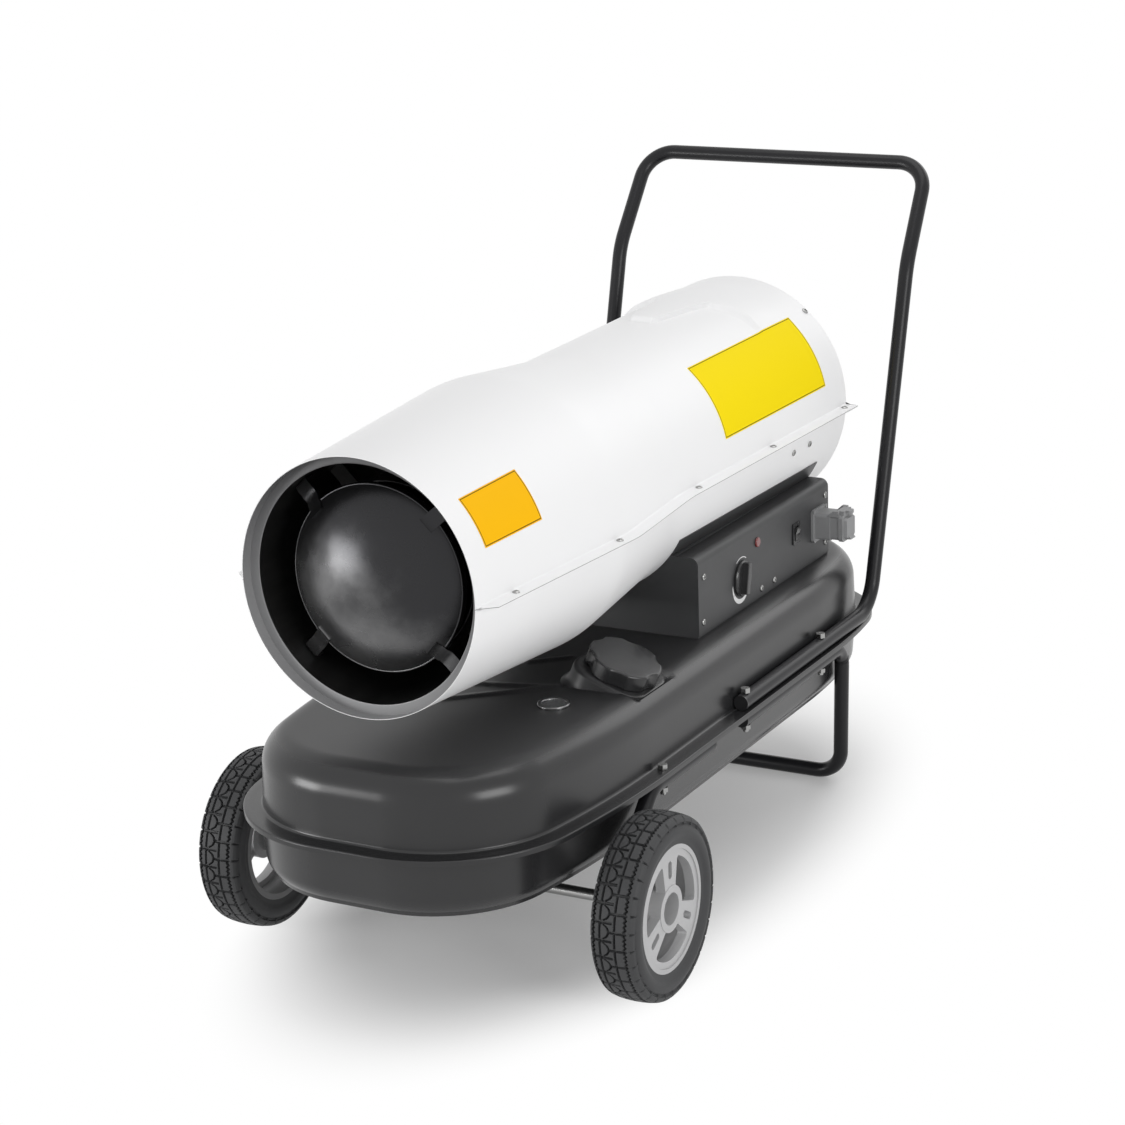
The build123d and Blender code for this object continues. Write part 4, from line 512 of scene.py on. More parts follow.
# the finish of each material slot
NODE_FINISH = {
    "tank_black": "tank_paint", "frame_black": "tube_paint", "box_black": "box_paint",
    "barrel_white": "white_paint", "zinc_steel": "zinc", "heat_steel": "heat_steel",
    "strainer_steel": "bright_steel", "cap_black": "cap_plastic",
    "seal_rubber": "seal_rubber", "gauge_chrome": "chrome", "gauge_clear": "clear",
    "gauge_red": "red_plastic", "float_plastic": "gauge_face", "tyre_black": "rubber",
    "rim_grey": "rim_plastic", "bush_plastic": "black_plastic", "brass": "brass",
    "ceramic_white": "ceramic", "sensor_black": "black_plastic",
    "fan_aluminium": "aluminium", "motor_grey": "grey_paint", "pump_iron": "grey_paint",
    "guard_steel": "tube_paint", "lamp_red": "dark_red_lens",
    "socket_grey": "grey_plastic", "board_green": "board", "coil_black": "black_plastic",
    "line_copper": "copper", "hose_black": "seal_rubber"}


# ---- meshes ----
def place(points):
    """Millimetres from the axle to metres of the frame."""
    return (np.asarray(points, float) - (0.0, HOME_Y, 0.0)) * 0.001


def grid(points, wrap_u=False, wrap_v=False):
    """Corner points and quads of a surface sampled on rows u and columns v."""
    points = np.asarray(points, float)
    nu, nv = points.shape[:2]
    index = np.arange(nu * nv).reshape(nu, nv)
    if wrap_u:
        index = np.concatenate([index, index[:1]], 0)
    if wrap_v:
        index = np.concatenate([index, index[:, :1]], 1)
    quads = np.stack([index[:-1, :-1], index[1:, :-1], index[1:, 1:], index[:-1, 1:]], -1)
    return points.reshape(-1, 3), quads.reshape(-1, 4)


def soften(obj, width, segments, flat):
    """Round the edges sharper than flat degrees by width millimetres."""
    edge = obj.modifiers.new("soft edges", "BEVEL")
    edge.width, edge.segments = width * 0.001, segments
    edge.limit_method, edge.angle_limit = "ANGLE", np.radians(flat)
    edge.harden_normals = True


def piece(name, parts, body, look, slot, replaces=(), flat=30.0, weld=2e-6, uv=None,
          bevel=0.0):
    """One object from several surfaces, welded where they meet, its normals outwards."""
    corners, faces, start = [], [], 0
    for points, quads in parts:
        corners.append(points)
        faces.append(quads + start)
        start += len(points)
    corners, faces = place(np.concatenate(corners)), np.concatenate(faces)
    mesh = bpy.data.meshes.new(name)
    mesh.from_pydata(corners, [], faces.tolist())
    mesh.update()
    obj = bpy.data.objects.new(name, mesh)
    bpy.context.scene.collection.objects.link(obj)
    if uv is not None:
        layer = mesh.uv_layers.new(name="plate")
        loops = np.zeros(len(mesh.loops), np.int32)
        mesh.loops.foreach_get("vertex_index", loops)
        layer.data.foreach_set("uv", uv[loops].ravel())
    tidy_mesh(mesh, weld, flat)
    if bevel:
        soften(obj, bevel, 2, flat)
    return dress(obj, body, look, slot, replaces)


def capped(ring):
    """A closed strip: rows of points round a section, the first and the last row drawn to
    their middle."""
    first, last = (np.repeat(row.mean(1, keepdims=True), ring.shape[1], 1)
                   for row in (ring[:1], ring[-1:]))
    return grid(np.concatenate([first, ring, last]), wrap_v=True)


def tidy_mesh(mesh, weld, flat, merge=0.0):
    """Weld doubles, drop faces without area, join faces within merge degrees of one plane,
    turn faces outwards, smooth under flat degrees."""
    work = bmesh.new()
    work.from_mesh(mesh)
    if weld:
        bmesh.ops.remove_doubles(work, verts=work.verts, dist=weld)
        bmesh.ops.dissolve_degenerate(work, edges=work.edges, dist=weld)
        bmesh.ops.recalc_face_normals(work, faces=work.faces)
    if merge:
        bmesh.ops.dissolve_limit(work, angle_limit=np.radians(merge), verts=work.verts,
                                 edges=work.edges)
    work.to_mesh(mesh)
    work.free()
    mesh.shade_smooth()
    mesh.set_sharp_from_angle(angle=np.radians(flat))
    mesh.update()


def dress(obj, body, look, slot, replaces=()):
    """Give a finished piece its material and its body, and hide the CAD nodes it replaces."""
    obj.data.materials.clear()
    obj.data.materials.append(finish(look))
    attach(obj, body)
    if replaces:
        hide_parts(*replaces)
    return obj


def node_body(node):
    for body, members in frame["record"]["behaviour"]["bodies"].items():
        if node in members:
            return body
    raise ValueError(node)


def node_slot(node):
    for row in frame["record"]["subparts"]:
        if row["node"] == node:
            return row["material_slot"]
    raise ValueError(node)


def dressed_copy(node, look=None, bevel=0.6, flat=28.0, segments=2):
    """A smooth, softly edged copy of a CAD node, which it stands for."""
    source = frame["nodes"][node]
    mesh = source.data.copy()
    mesh.name = node + "_dressed"
    tidy_mesh(mesh, 1e-5, flat, 0.1)
    obj = bpy.data.objects.new(node + "_dressed", mesh)
    bpy.context.scene.collection.objects.link(obj)
    if bevel:
        soften(obj, bevel, segments, flat)
    return dress(obj, node_body(node), look or NODE_FINISH[node_slot(node)],
                 node_slot(node), [node])


# ---- curves and profiles ----
def ease(x, low, high):
    """0 under low, 1 over high, and 3t^2 - 2t^3 between."""
    t = np.clip((np.asarray(x, float) - low) / (high - low), 0, 1)
    return t * t * (3 - 2 * t)


def arc2(c, r, a0, a1, step=5.0):
    """Points of an arc and its outward directions."""
    n = max(3, int(abs(a1 - a0) * r / step) + 1)
    t = np.linspace(a0, a1, n)
    out = np.stack([np.cos(t), np.sin(t)], -1)
    return np.asarray(c) + r * out, out


# the tank's plan: half its width, its nose and tail, the ends of its straight sides, and the
# radii of its arcs from the nose to the sides and from the middle of the tail to the sides
PLAN_HALF, PLAN_ENDS, SIDE_ENDS = 262.0, (-274.0, 1040.0), (159.0, 715.0)
NOSE_ARCS, TAIL_ARCS = (201.0, 1680.0), (1107.0, 186.0, 1176.0)


def plan(side, nose, step=5.0):
    """The tank's plan as a closed loop of points with outward directions: a straight nose,
    two arcs a corner, straight sides, and a tail of tangent arcs, all drawn in by side, and
    the nose by nose."""
    half, y0, y1 = PLAN_HALF - side, PLAN_ENDS[0] + nose, PLAN_ENDS[1] - side
    front, rear = SIDE_ENDS
    r2, r3 = (r - side for r in NOSE_ARCS)
    turn = np.arccos((front - y0 - r2) / (r3 - r2))
    flat = half - r2 * np.sin(turn) - r3 * (1 - np.sin(turn))
    q1, q2, q3 = (r - side for r in TAIL_ARCS)
    c3, c1 = np.array((half - q3, rear)), np.array((0.0, y1 - q1))
    a, b, d = q1 - q2, q3 - q2, np.linalg.norm(c3 - c1)
    along = (a * a - b * b + d * d) / (2 * d)
    u = (c3 - c1) / d
    ends = [c1 + u * along + s * np.sqrt(a * a - along * along) * np.array((u[1], -u[0]))
            for s in (1, -1)]
    c2 = max(ends, key=lambda p: p[1])
    n2, n3 = np.array((flat, y0 + r2)), np.array((half - r3, front))
    s1 = np.arctan2(*(n2 - n3)[::-1])
    s2, s3 = np.arctan2(*(c2 - c3)[::-1]), np.arctan2(*(c2 - c1)[::-1])
    m = max(3, int(flat / step))
    nose_line = np.stack([np.linspace(0, flat, m), np.full(m, y0)], -1)
    k = int((rear - front) / step)
    side_line = np.stack([np.full(k, half), np.linspace(front, rear, k)], -1)
    runs = [(nose_line, np.tile((0.0, -1.0), (m, 1))), arc2(n2, r2, -np.pi / 2, s1, step),
            arc2(n3, r3, s1, 0, step), (side_line, np.tile((1.0, 0.0), (k, 1))),
            arc2(c3, q3, 0, s2, step), arc2(c2, q2, s2, s3, step),
            arc2(c1, q1, s3, np.pi / 2, step)]
    points = np.concatenate([p[:-1] for p, n in runs] + [runs[-1][0][-1:]])
    normals = np.concatenate([n[:-1] for p, n in runs] + [runs[-1][1][-1:]])
    back = slice(-2, 0, -1)
    points = np.concatenate([points, points[back] * (-1, 1)])
    normals = np.concatenate([normals, normals[back] * (-1, 1)])
    return points, normals


def skin(points, normals, profile):
    """A profile of (inset, z) carried round the plan: point minus inset times direction."""
    inset, z = np.asarray(profile, float).T
    flat = points[:, None] - inset[None, :, None] * normals[:, None]
    return np.concatenate([flat, np.broadcast_to(z[None, :, None],
                                                 (*flat.shape[:2], 1))], -1)


def corner(c, r, a0, a1, n=9):
    """A rounded corner of a profile, angles in degrees."""
    t = np.radians(np.linspace(a0, a1, n))
    return [(c[0] + r * np.cos(k), c[1] + r * np.sin(k)) for k in t]


def bent(points, radii, step=5.0):
    """A path of straight runs joined by round bends: at each corner the arc of the given
    radius that touches both runs."""
    points = [np.asarray(p, float) for p in points]
    out = [points[0][None]]
    for i, r in enumerate(radii):
        a, p, b = points[i], points[i + 1], points[i + 2]
        u, v = (a - p) / np.linalg.norm(a - p), (b - p) / np.linalg.norm(b - p)
        half = np.arccos(np.clip(u @ v, -1, 1)) / 2
        centre = p + (u + v) / np.linalg.norm(u + v) * r / np.sin(half)
        e1 = p + u * r / np.tan(half) - centre
        e2 = p + v * r / np.tan(half) - centre
        turn = np.pi - 2 * half
        n = max(4, int(turn * r / step) + 1)
        t = np.linspace(0, 1, n)[:, None]
        out.append(centre + (np.sin((1 - t) * turn) * e1 + np.sin(t * turn) * e2)
                   / np.sin(turn))
    out.append(points[-1][None])
    return np.concatenate(out)


def sweep(path, radius, lean, sides=32):
    """A round tube: circle of the radius in the plane across the path's direction, started
    from the fixed direction lean, which is never along the path, with its ends shut."""
    path = np.asarray(path, float)
    run = np.gradient(path, axis=0)
    ahead = run / np.linalg.norm(run, axis=1, keepdims=True)
    side = np.cross(ahead, lean)
    side /= np.linalg.norm(side, axis=1, keepdims=True)
    up = np.cross(side, ahead)
    t = np.linspace(0, 2 * np.pi, sides, endpoint=False)
    ring = side[:, None] * np.cos(t)[None, :, None] + up[:, None] * np.sin(t)[None, :, None]
    return capped(path[:, None] + radius * ring)


def barrel_r(y):
    """The barrel's outer radius: straight cones with softened creases. Each crease adds its
    change of slope times width times log(1 + exp(distance / width))."""
    y = np.asarray(y, float)
    w = sizes().crease
    slopes = [(b[1] - a[1]) / (b[0] - a[0]) for a, b in zip(BARREL, BARREL[1:])]
    r = BARREL[0][1] + slopes[0] * (y - BARREL[0][0])
    for crease, s0, s1 in zip(BARREL[1:-1], slopes, slopes[1:]):
        r = r + (s1 - s0) * w * np.logaddexp(0.0, (y - crease[0]) / w)
    return r


def barrel_points(y, r, angle):
    """Points round the barrel's axis."""
    y, r, angle = np.broadcast_arrays(y, r, angle)
    return np.stack([r * np.cos(angle), y, AXIS_Z + r * np.sin(angle)], -1)


def turned(profile, n, closed=False):
    """A profile of (y, radius) turned about the barrel's axis."""
    y, r = np.asarray(profile, float).T
    t = np.linspace(0, 2 * np.pi, n, endpoint=False)
    return grid(barrel_points(y[None, :], r[None, :], t[:, None]), wrap_u=True,
                wrap_v=closed)


def mirrored(parts):
    """The same surfaces on the other side, faces turned to stay outwards."""
    return [(points * (-1, 1, 1), quads[:, ::-1]) for points, quads in parts]


# ---- tank ----
LIP_Z = FLANGE_Z - 7.5
# the pan's wall and its flange, drawn in from the lip: sides and nose
PAN_IN = (26.0, 17.0)
FLANGE_IN, FLANGE_WIDE = 4.0, 24.0
SPINE_Y = (-60.0, 820.0)
RIBS = (((-26.0, 39.0), (92.0, 143.0)), ((-16.0, 112.0), (90.0, 141.0)),
        ((8.0, 222.0), (52.0, 262.0)))
RIB_HALF, RIB_UP = 9.0, 2.5
CUP_Y, CUP_R, CUP_UP = 640.0, 24.0, 11.0


def boss_local(points):
    """Coordinates on the filler boss: across the lean, along y, and out of its face."""
    d = points - BOSS
    return d @ BOSS_A, d @ BOSS_B, d @ BOSS_N


def closed_flat(wall, loop, reach, z):
    """The wall's rows and, from its last, rows drawn in to the tank's spine by each share of
    reach, at height z: one number, or what gives it for the drawn in points."""
    spine = np.stack([0 * loop[:, 0], np.clip(loop[:, 1], *SPINE_Y)], -1)
    last = wall[:, -1, :2]
    flat = last[:, None] + (spine - last)[:, None] * np.asarray(reach)[None, :, None]
    high = z(flat) if callable(z) else np.full(flat.shape[:2], z)
    return np.concatenate([wall, np.concatenate([flat, high[..., None]], -1)], 1)


def upper_shell_parts():
    """The pressed top: lip, flange, foot, drafted wall, shoulder of radius 44, flat top with
    low ribs, and the same surface again one sheet inside."""
    b, n = plan(0, 0)
    draft = np.tan(np.radians(2.5))
    wall, top, edge, bend = 26.0, TOP_Z, 44.0, 4.0

    def shoulder_arc(t):
        r = edge - t
        z = top - t - r
        x = wall + t + (z - FLANGE_Z + t) * draft + r
        return corner((x, z), r, 178.0, 90.0, 16)

    lip = [(0.0, LIP_Z)] + corner((2.0, FLANGE_Z - 2.0), 2.0, 180.0, 90.0, 6)
    foot = corner((wall - bend * 0.9, FLANGE_Z + bend), bend, -90.0, -4.0, 7)
    shell = skin(b, n, lip + [(12.0, FLANGE_Z)] + foot + shoulder_arc(0.0))
    reach = np.linspace(0, 1, 46)[1:]
    outer = press_boss(press_ribs(closed_flat(shell, b, reach, top)))
    under = [(0.0, LIP_Z), (SHEET, LIP_Z), (SHEET, FLANGE_Z - SHEET),
             (wall + SHEET, FLANGE_Z - SHEET)]
    inside = skin(b, n, under + shoulder_arc(SHEET))
    inside = press_boss(closed_flat(inside, b, (0.5, 1.0), top - SHEET), SHEET)
    return [grid(outer, wrap_u=True), grid(inside[:, ::-1], wrap_u=True)]


def press_ribs(points):
    """Low ribs on the flat top: full height on each line, down to nothing at its width."""
    p = points[..., :2]
    rise = np.zeros(p.shape[:2])
    for a, b in RIBS:
        a, b = np.array(a), np.array(b)
        t = np.clip(((p - a) @ (b - a)) / ((b - a) @ (b - a)), 0, 1)
        d = np.linalg.norm(p - a - t[..., None] * (b - a), axis=-1)
        rise = np.maximum(rise, RIB_UP * (1 - ease(d, 2.0, RIB_HALF)))
    lifted = points.copy()
    lifted[..., 2] += rise * (points[..., 2] > TOP_Z - 0.5)
    return lifted


def press_boss(points, inset=0.0):
    """Push what stands over the boss's leaning face under it."""
    a, c, h = boss_local(points)
    within = (np.abs(a) < 57.0) & (np.abs(c) < 56.5)
    drop = np.where(within, np.maximum(h + 1.2 + inset, 0.0), 0.0)
    return points - drop[..., None] * BOSS_N


def rounded(half_a, half_b, r, step=4.0):
    """A rounded rectangle as points with outward directions."""
    pts, out = [], []
    for sx, sy, a0 in ((1, -1, -90), (1, 1, 0), (-1, 1, 90), (-1, -1, 180)):
        n = max(6, int(np.pi / 2 * r / step))
        t = np.radians(np.linspace(a0, a0 + 90, n))
        d = np.stack([np.cos(t), np.sin(t)], -1)
        pts.append(np.array((sx * (half_a - r), sy * (half_b - r))) + r * d)
        out.append(d)
    return np.concatenate(pts), np.concatenate(out)


def boss_parts():
    """The filler boss: a rounded block square to its leaning face, its foot flared."""
    p, n = rounded(59.0, 58.5, 36.0)
    side = [(-9.0, -36.0), (-5.0, -31.0), (-2.0, -27.0), (-0.5, -20.0)]
    profile = np.array(side + corner((7.0, -7.0), 7.0, 180.0, 90.0, 8) + [(14.0, 0.0)])
    flat = p[:, None] - profile[None, :, 0, None] * n[:, None]
    ring = flat[:, -1]
    r = np.linalg.norm(ring, axis=1, keepdims=True)
    hole = ring / r * 36.0
    flat = np.concatenate([flat, hole[:, None], hole[:, None]], 1)
    h = np.concatenate([profile[:, 1], (0.0, -6.0)])
    points = (BOSS + flat[..., :1] * BOSS_A + flat[..., 1:] * BOSS_B
              + h[None, :, None] * BOSS_N)
    return [grid(points, wrap_u=True)]


def pan_parts():
    """The pressed bottom: flange under the lip, drafted wall, edge of radius 28, and a floor
    with a cup pressed up into it for the drain plug. The same again one sheet inside."""
    b, n = plan(*PAN_IN)
    draft = np.tan(np.radians(4.0))
    top, low, r = FLANGE_Z - SHEET, PAN_Z, 28.0
    foot = [(SHEET, top - 1.0), (-3.0, top - 1.0), (-3.0, top - SHEET)] + corner(
        (-3.0, top - SHEET - 3.0), 3.0, 90.0, 4.0, 5)
    flange = skin(*plan(FLANGE_IN, FLANGE_IN), [
        (0.0, top), (0.0, top - SHEET), (FLANGE_WIDE, top - SHEET), (FLANGE_WIDE, top)])
    x_c = (top - low - r) * draft + r
    reach = (0.3, 0.6, 0.8, 0.86, 0.88, 0.895, 0.91, 0.93, 0.955, 0.98, 1.0)

    def surface(profile, z):
        def cupped(floor):
            away = np.hypot(floor[..., 0], floor[..., 1] - CUP_Y)
            return z + CUP_UP * (1 - ease(away, CUP_R - 4.0, CUP_R + 4.0))

        return closed_flat(skin(b, n, profile), b, reach, cupped)

    outer = surface(foot + corner((x_c, low + r), r, 184.0, 270.0, 14), low)
    inner = surface([(SHEET, top - 1.0), (SHEET + 6.0, low + r),
                     (SHEET + 14.0, low + SHEET)], low + SHEET)
    return [grid(outer, wrap_u=True), grid(inner[:, ::-1], wrap_u=True),
            grid(flange, wrap_u=True, wrap_v=True)]


class HEATER_OT_tank(bpy.types.Operator):
    """Press the two halves of the fuel tank"""

    bl_idname = "heater.tank"
    bl_label = "Tank"

    def execute(self, context):
        piece("tank_top_pressing", upper_shell_parts() + boss_parts(), "chassis",
              "tank_paint", "tank_black", ["tank_upper_shell"], flat=40.0)
        piece("tank_pan_pressing", pan_parts(), "chassis", "tank_paint", "tank_black",
              ["tank_lower_pan"], flat=40.0)
        dressed_copy("drain_plug", bevel=0.8)
        return {"FINISHED"}


# ---- barrel ----
SHOULDER_UP = 7.0
# where the shoulder's front slants, as shares of the half round away from the top
SHOULDER_SLANT = (0.0217, 0.0815)
SEAM_W, SEAM_START, SEAM_T = 20.0, -200.0, 1.4


def stations(fine):
    """Places along the barrel, closer together at the creases and, where asked, under the
    pressed shoulder."""
    y = [np.linspace(BARREL[0][0], BARREL[-1][0], 84)]
    y += [np.linspace(crease[0] - 40, crease[0] + 40, 33) for crease in BARREL[1:-1]]
    if fine:
        y.append(np.linspace(590.0, 800.0, 64))
    return np.unique(np.round(np.concatenate(y), 3))


def shoulder(y, angle):
    """The pressed shoulder on top of the fan end: a tongue that starts at its front, widens
    behind, and dies away backwards and down the sides."""
    off = np.abs(np.degrees(angle) - 90.0)
    front = 606.0 + 140.0 * ease(off, 5.0, 14.0) + 22.0 * ease(off, 14.0, 30.0)
    return (SHOULDER_UP * ease(y, front, front + 10.0) * (1 - ease(y, 775.0, 925.0))
            * (1 - ease(off, 30.0, 46.0)))


def half_shell(upper):
    """Half of the barrel's sheet from seam to seam, and its seam flanges as strips that
    follow the wall. The wall is the barrel's radius plus the pressed shoulder."""
    y = stations(upper)
    r = barrel_r(y)
    s = 1.0 if upper else -1.0
    meet = s * np.arcsin((SEAM_Z - AXIS_Z) / r)
    t = np.linspace(0, 1, 81)
    if upper:
        slant = np.linspace(*SHOULDER_SLANT, 44)
        t = np.unique(np.concatenate([t, 0.5 - slant, 0.5 + slant]))
    t = t[:, None]
    angle = meet[None] + t * (np.pi - 2 * meet[None])
    press = shoulder(y[None], angle) if upper else 0.0
    outer = barrel_points(y[None], r[None] + press, s * angle)
    inner = barrel_points(y[None], r[None] + press - WALL, s * angle)[::-1]
    loop = np.concatenate([outer, inner])
    parts = [grid(loop, wrap_u=True)]
    ends = [grid(np.stack([outer[:, k], inner[::-1, k]], 0)) for k in (0, -1)]
    ys = np.concatenate([SEAM_START + np.array((0.0, 5.0, 10.0, 15.0, 18.0, 20.0)),
                         y[y > SEAM_START + 24.0]])
    wide = np.clip((ys - SEAM_START) / SEAM_W, 0.02, 1.0) * SEAM_W
    x0 = np.sqrt(barrel_r(ys) ** 2 - (SEAM_Z - AXIS_Z) ** 2) - 0.6
    x1 = x0 + 0.6 + wide
    section = ((x1, 0.0), (x1, SEAM_T - 0.35), (x1 - 0.35, SEAM_T), (x0 + 3.4, SEAM_T),
               (x0 + 1.7, SEAM_T + 0.5), (x0 + 0.6, SEAM_T + 1.8), (x0, SEAM_T + 3.4),
               (x0 - 0.4, 0.0))
    ring = np.stack([np.stack([x, ys, np.full_like(ys, SEAM_Z + s * z)], -1)
                     for x, z in section], 1)
    strip = [capped(ring)]
    return parts + ends + strip + mirrored(strip)


class HEATER_OT_barrel(bpy.types.Operator):
    """Roll the two halves of the barrel"""

    bl_idname = "heater.barrel"
    bl_label = "Barrel"

    def execute(self, context):
        piece("barrel_top_sheet", half_shell(True), "chassis", "white_paint",
              "barrel_white", ["barrel_upper_shell"], flat=35.0)
        piece("barrel_bottom_sheet", half_shell(False), "chassis", "white_paint",
              "barrel_white", ["barrel_lower_shell"], flat=35.0)
        dressed_copy("inlet_guard", bevel=0.3)
        return {"FINISHED"}


# ---- frame ----
HANDLE_PATH = ((TUBE_X, 410.0, 268.4), (TUBE_X, 891.0, 268.4), (251.4, 1037.6, 791.3),
               (245.6, 1139.5, 932.19))
LEG_Z = 242.6
LEG_PATH = ((TUBE_X, 410.0, LEG_Z), (TUBE_X, 779.0, LEG_Z), (224.0, 826.0, TUBE_R))


def loop_path(half, radii):
    other = [(-x, y, z) for x, y, z in reversed(half)]
    return bent(list(half) + other, list(radii) + list(radii)[::-1])


class HEATER_OT_tubes(bpy.types.Operator):
    """Bend the handle, the rear leg and the wheel struts"""

    bl_idname = "heater.tubes"
    bl_label = "Bent tubes"

    def execute(self, context):
        handle = [sweep(loop_path(HANDLE_PATH, (65.0, 130.0, 50.0)), TUBE_R,
                        (0.0, -0.9, 0.43))]
        leg = [sweep(loop_path(LEG_PATH, (45.0, 45.0)), TUBE_R, (0.0, 0.5, -0.86))]
        knee, axle = np.array((TUBE_X, 118.0, LEG_Z)), np.array((TUBE_X, 0.0, WHEEL_R))
        end = axle + 15.0 * (axle - knee) / np.linalg.norm(axle - knee)
        path = bent([(TUBE_X, 300.0, LEG_Z), knee, end], [45.0])
        strut = [sweep(path, TUBE_R, (1.0, 0.0, 0.0))]
        for name, parts, node in (("handle_bend", handle, "handle_tube"),
                                  ("rear_leg_bend", leg, "rear_leg"),
                                  ("strut_bend_right", strut, "axle_strut_right"),
                                  ("strut_bend_left", mirrored(strut), "axle_strut_left")):
            piece(name, parts, "chassis", "tube_paint", "frame_black", [node], flat=50.0)
        for node in ("tube_plugs", "frame_nuts", "axle_spacers", "axle_clips", "axle"):
            dressed_copy(node, bevel=0.4)
        dressed_copy("frame_bolts", bevel=0.7)
        return {"FINISHED"}


# ---- wheels ----
def tyre_profile():
    """The tyre's section as (x, radius) from bead to bead, closer together on the tread."""
    side = corner((20.5, 104.0), 13.1, 62.0, -48.0, 14)
    right = [(0.0, 127.0), (9.0, 126.7), (18.0, 125.9), (25.0, 124.6), (28.0, 123.4),
             (30.5, 120.6), (31.8, 117.0)] + side[1:] + [(28.4, 88.4), (28.0, 86.8)]
    right = np.array(right)
    both = np.concatenate([right[::-1] * (-1, 1), right[1:]])
    d = np.r_[0, np.cumsum(np.linalg.norm(np.diff(both, axis=0), axis=1))]
    mid, tread = d[-1] / 2, 36.0
    s = np.concatenate([np.linspace(0, mid - tread, 14)[:-1],
                        np.linspace(mid - tread, mid + tread, 95),
                        np.linspace(mid + tread, d[-1], 14)[1:]])
    return np.stack([np.interp(s, d, both[:, 0]), np.interp(s, d, both[:, 1])], -1)


def line_at(distance, width, soft=0.7):
    """1 on a line of that width, 0 off it, eased over soft."""
    return 1 - ease(np.abs(distance), (width - soft) / 2, (width + soft) / 2)


def tread_cut(x, turn):
    """How deep the pattern cuts, 0 to 1. Over the width, from -x to x: a toothed groove, a
    straight cut, the round edge of a D, a second straight cut and a second toothed groove.
    Cross cuts part the blocks of the two rows, half a block out of step, and short cuts
    notch both shoulders."""
    n = sizes().blocks
    pitch = 2 * np.pi * WHEEL_R / n
    along = turn / (2 * np.pi) * n
    first, second = ((along + k) % 1 - 0.5 for k in (0.0, 0.5))

    def teeth(count):
        return np.abs((along * count) % 1 - 0.5) * 4 - 1

    def cross(phase, low, high):
        on = line_at((0.5 - np.abs(phase)) * pitch, 2.8)
        return on * ease(x, low, low + 1.0) * (1 - ease(x, high, high + 1.0))

    cut = line_at(x + 24.5 + 1.2 * teeth(4), 2.4)
    cut = np.maximum(cut, line_at(x - 20.5 - 1.4 * teeth(4), 2.6))
    cut = np.maximum(cut, line_at(x + 15.0, 2.4) * (np.abs(first) < 0.4))
    cut = np.maximum(cut, line_at(x - 6.5, 2.4) * (np.abs(second) < 0.43))
    bow = 13.0 * np.sqrt(np.clip(1 - (first / 0.42) ** 2, 0, 1))
    cut = np.maximum(cut, line_at(x + 15.0 - bow, 2.7) * (np.abs(first) < 0.42))
    cut = np.maximum(cut, np.maximum(cross(first, -25.5, 2.0), cross(second, -3.0, 21.0)))
    notch = line_at((0.5 - np.abs(np.where(x > 0, second, first))) * pitch, 2.0)
    return np.maximum(cut, notch * ease(np.abs(x), 25.5, 26.5))


def about_axle(x, r, turn):
    """Points of a radius at x, turned about the axle."""
    return np.stack(np.broadcast_arrays(x, r * np.cos(turn), WHEEL_R + r * np.sin(turn)), -1)


def tyre_parts(s):
    """The section turned about the axle, less the pattern's depth on the tread."""
    x, r = tyre_profile().T
    turn = np.linspace(0, 2 * np.pi, 768, endpoint=False)[:, None]
    cut = tread_cut(s * x[None], turn) * ease(r, 112.0, 118.0) * sizes().tread
    outer = about_axle(s * (WHEEL_X + x), r - cut, turn)
    bead = np.array([(-28.0, 86.8), (-25.0, 86.8), (-25.0, 84.0), (25.0, 84.0),
                     (25.0, 86.8), (28.0, 86.8)])
    inner = about_axle(s * (WHEEL_X + bead[:, 0]), bead[:, 1], turn)
    return [grid(outer, wrap_u=True), grid(inner[:, ::-1], wrap_u=True)]


class HEATER_OT_wheels(bpy.types.Operator):
    """Mould the tyres and dress the rims"""

    bl_idname = "heater.wheels"
    bl_label = "Wheels"

    def execute(self, context):
        for side, s in (("right", 1.0), ("left", -1.0)):
            piece("tyre_" + side + "_moulded", tyre_parts(s), "wheel_" + side, "rubber",
                  "tyre_black", ["tyre_" + side], flat=40.0)
            dressed_copy("rim_" + side, bevel=1.1, flat=25.0, segments=3)
            dressed_copy("bush_" + side, bevel=0.5)
        return {"FINISHED"}


# ---- burner ----
DOME_EDGE, DOME_Y, DOME_RISE = 126.0, -150.0, 44.0
STRAP_LAP = 114.0
LINER_R = 162.8
CHAMBER_R = 118.0


def ribbon(path, angle, width, thick):
    """A strap of a thickness along a path of (y, radius), centred on an angle of the barrel,
    its corners shared by every face."""
    path = np.asarray(path, float)
    run = np.gradient(path, axis=0)
    run /= np.linalg.norm(run, axis=1, keepdims=True)
    across = np.stack([-run[:, 1], run[:, 0]], -1) * thick / 2
    out = np.array((np.cos(angle), 0.0, np.sin(angle)))
    side = np.array((-np.sin(angle), 0.0, np.cos(angle))) * width / 2
    ring = []
    for line, s in ((path + across, 1), (path + across, -1), (path - across, -1),
                    (path - across, 1)):
        ring.append(np.array((0.0, 0.0, AXIS_Z)) + line[:, 1:] * out
                    + line[:, :1] * (0.0, 1.0, 0.0) + s * side)
    return capped(np.stack(ring, 1))


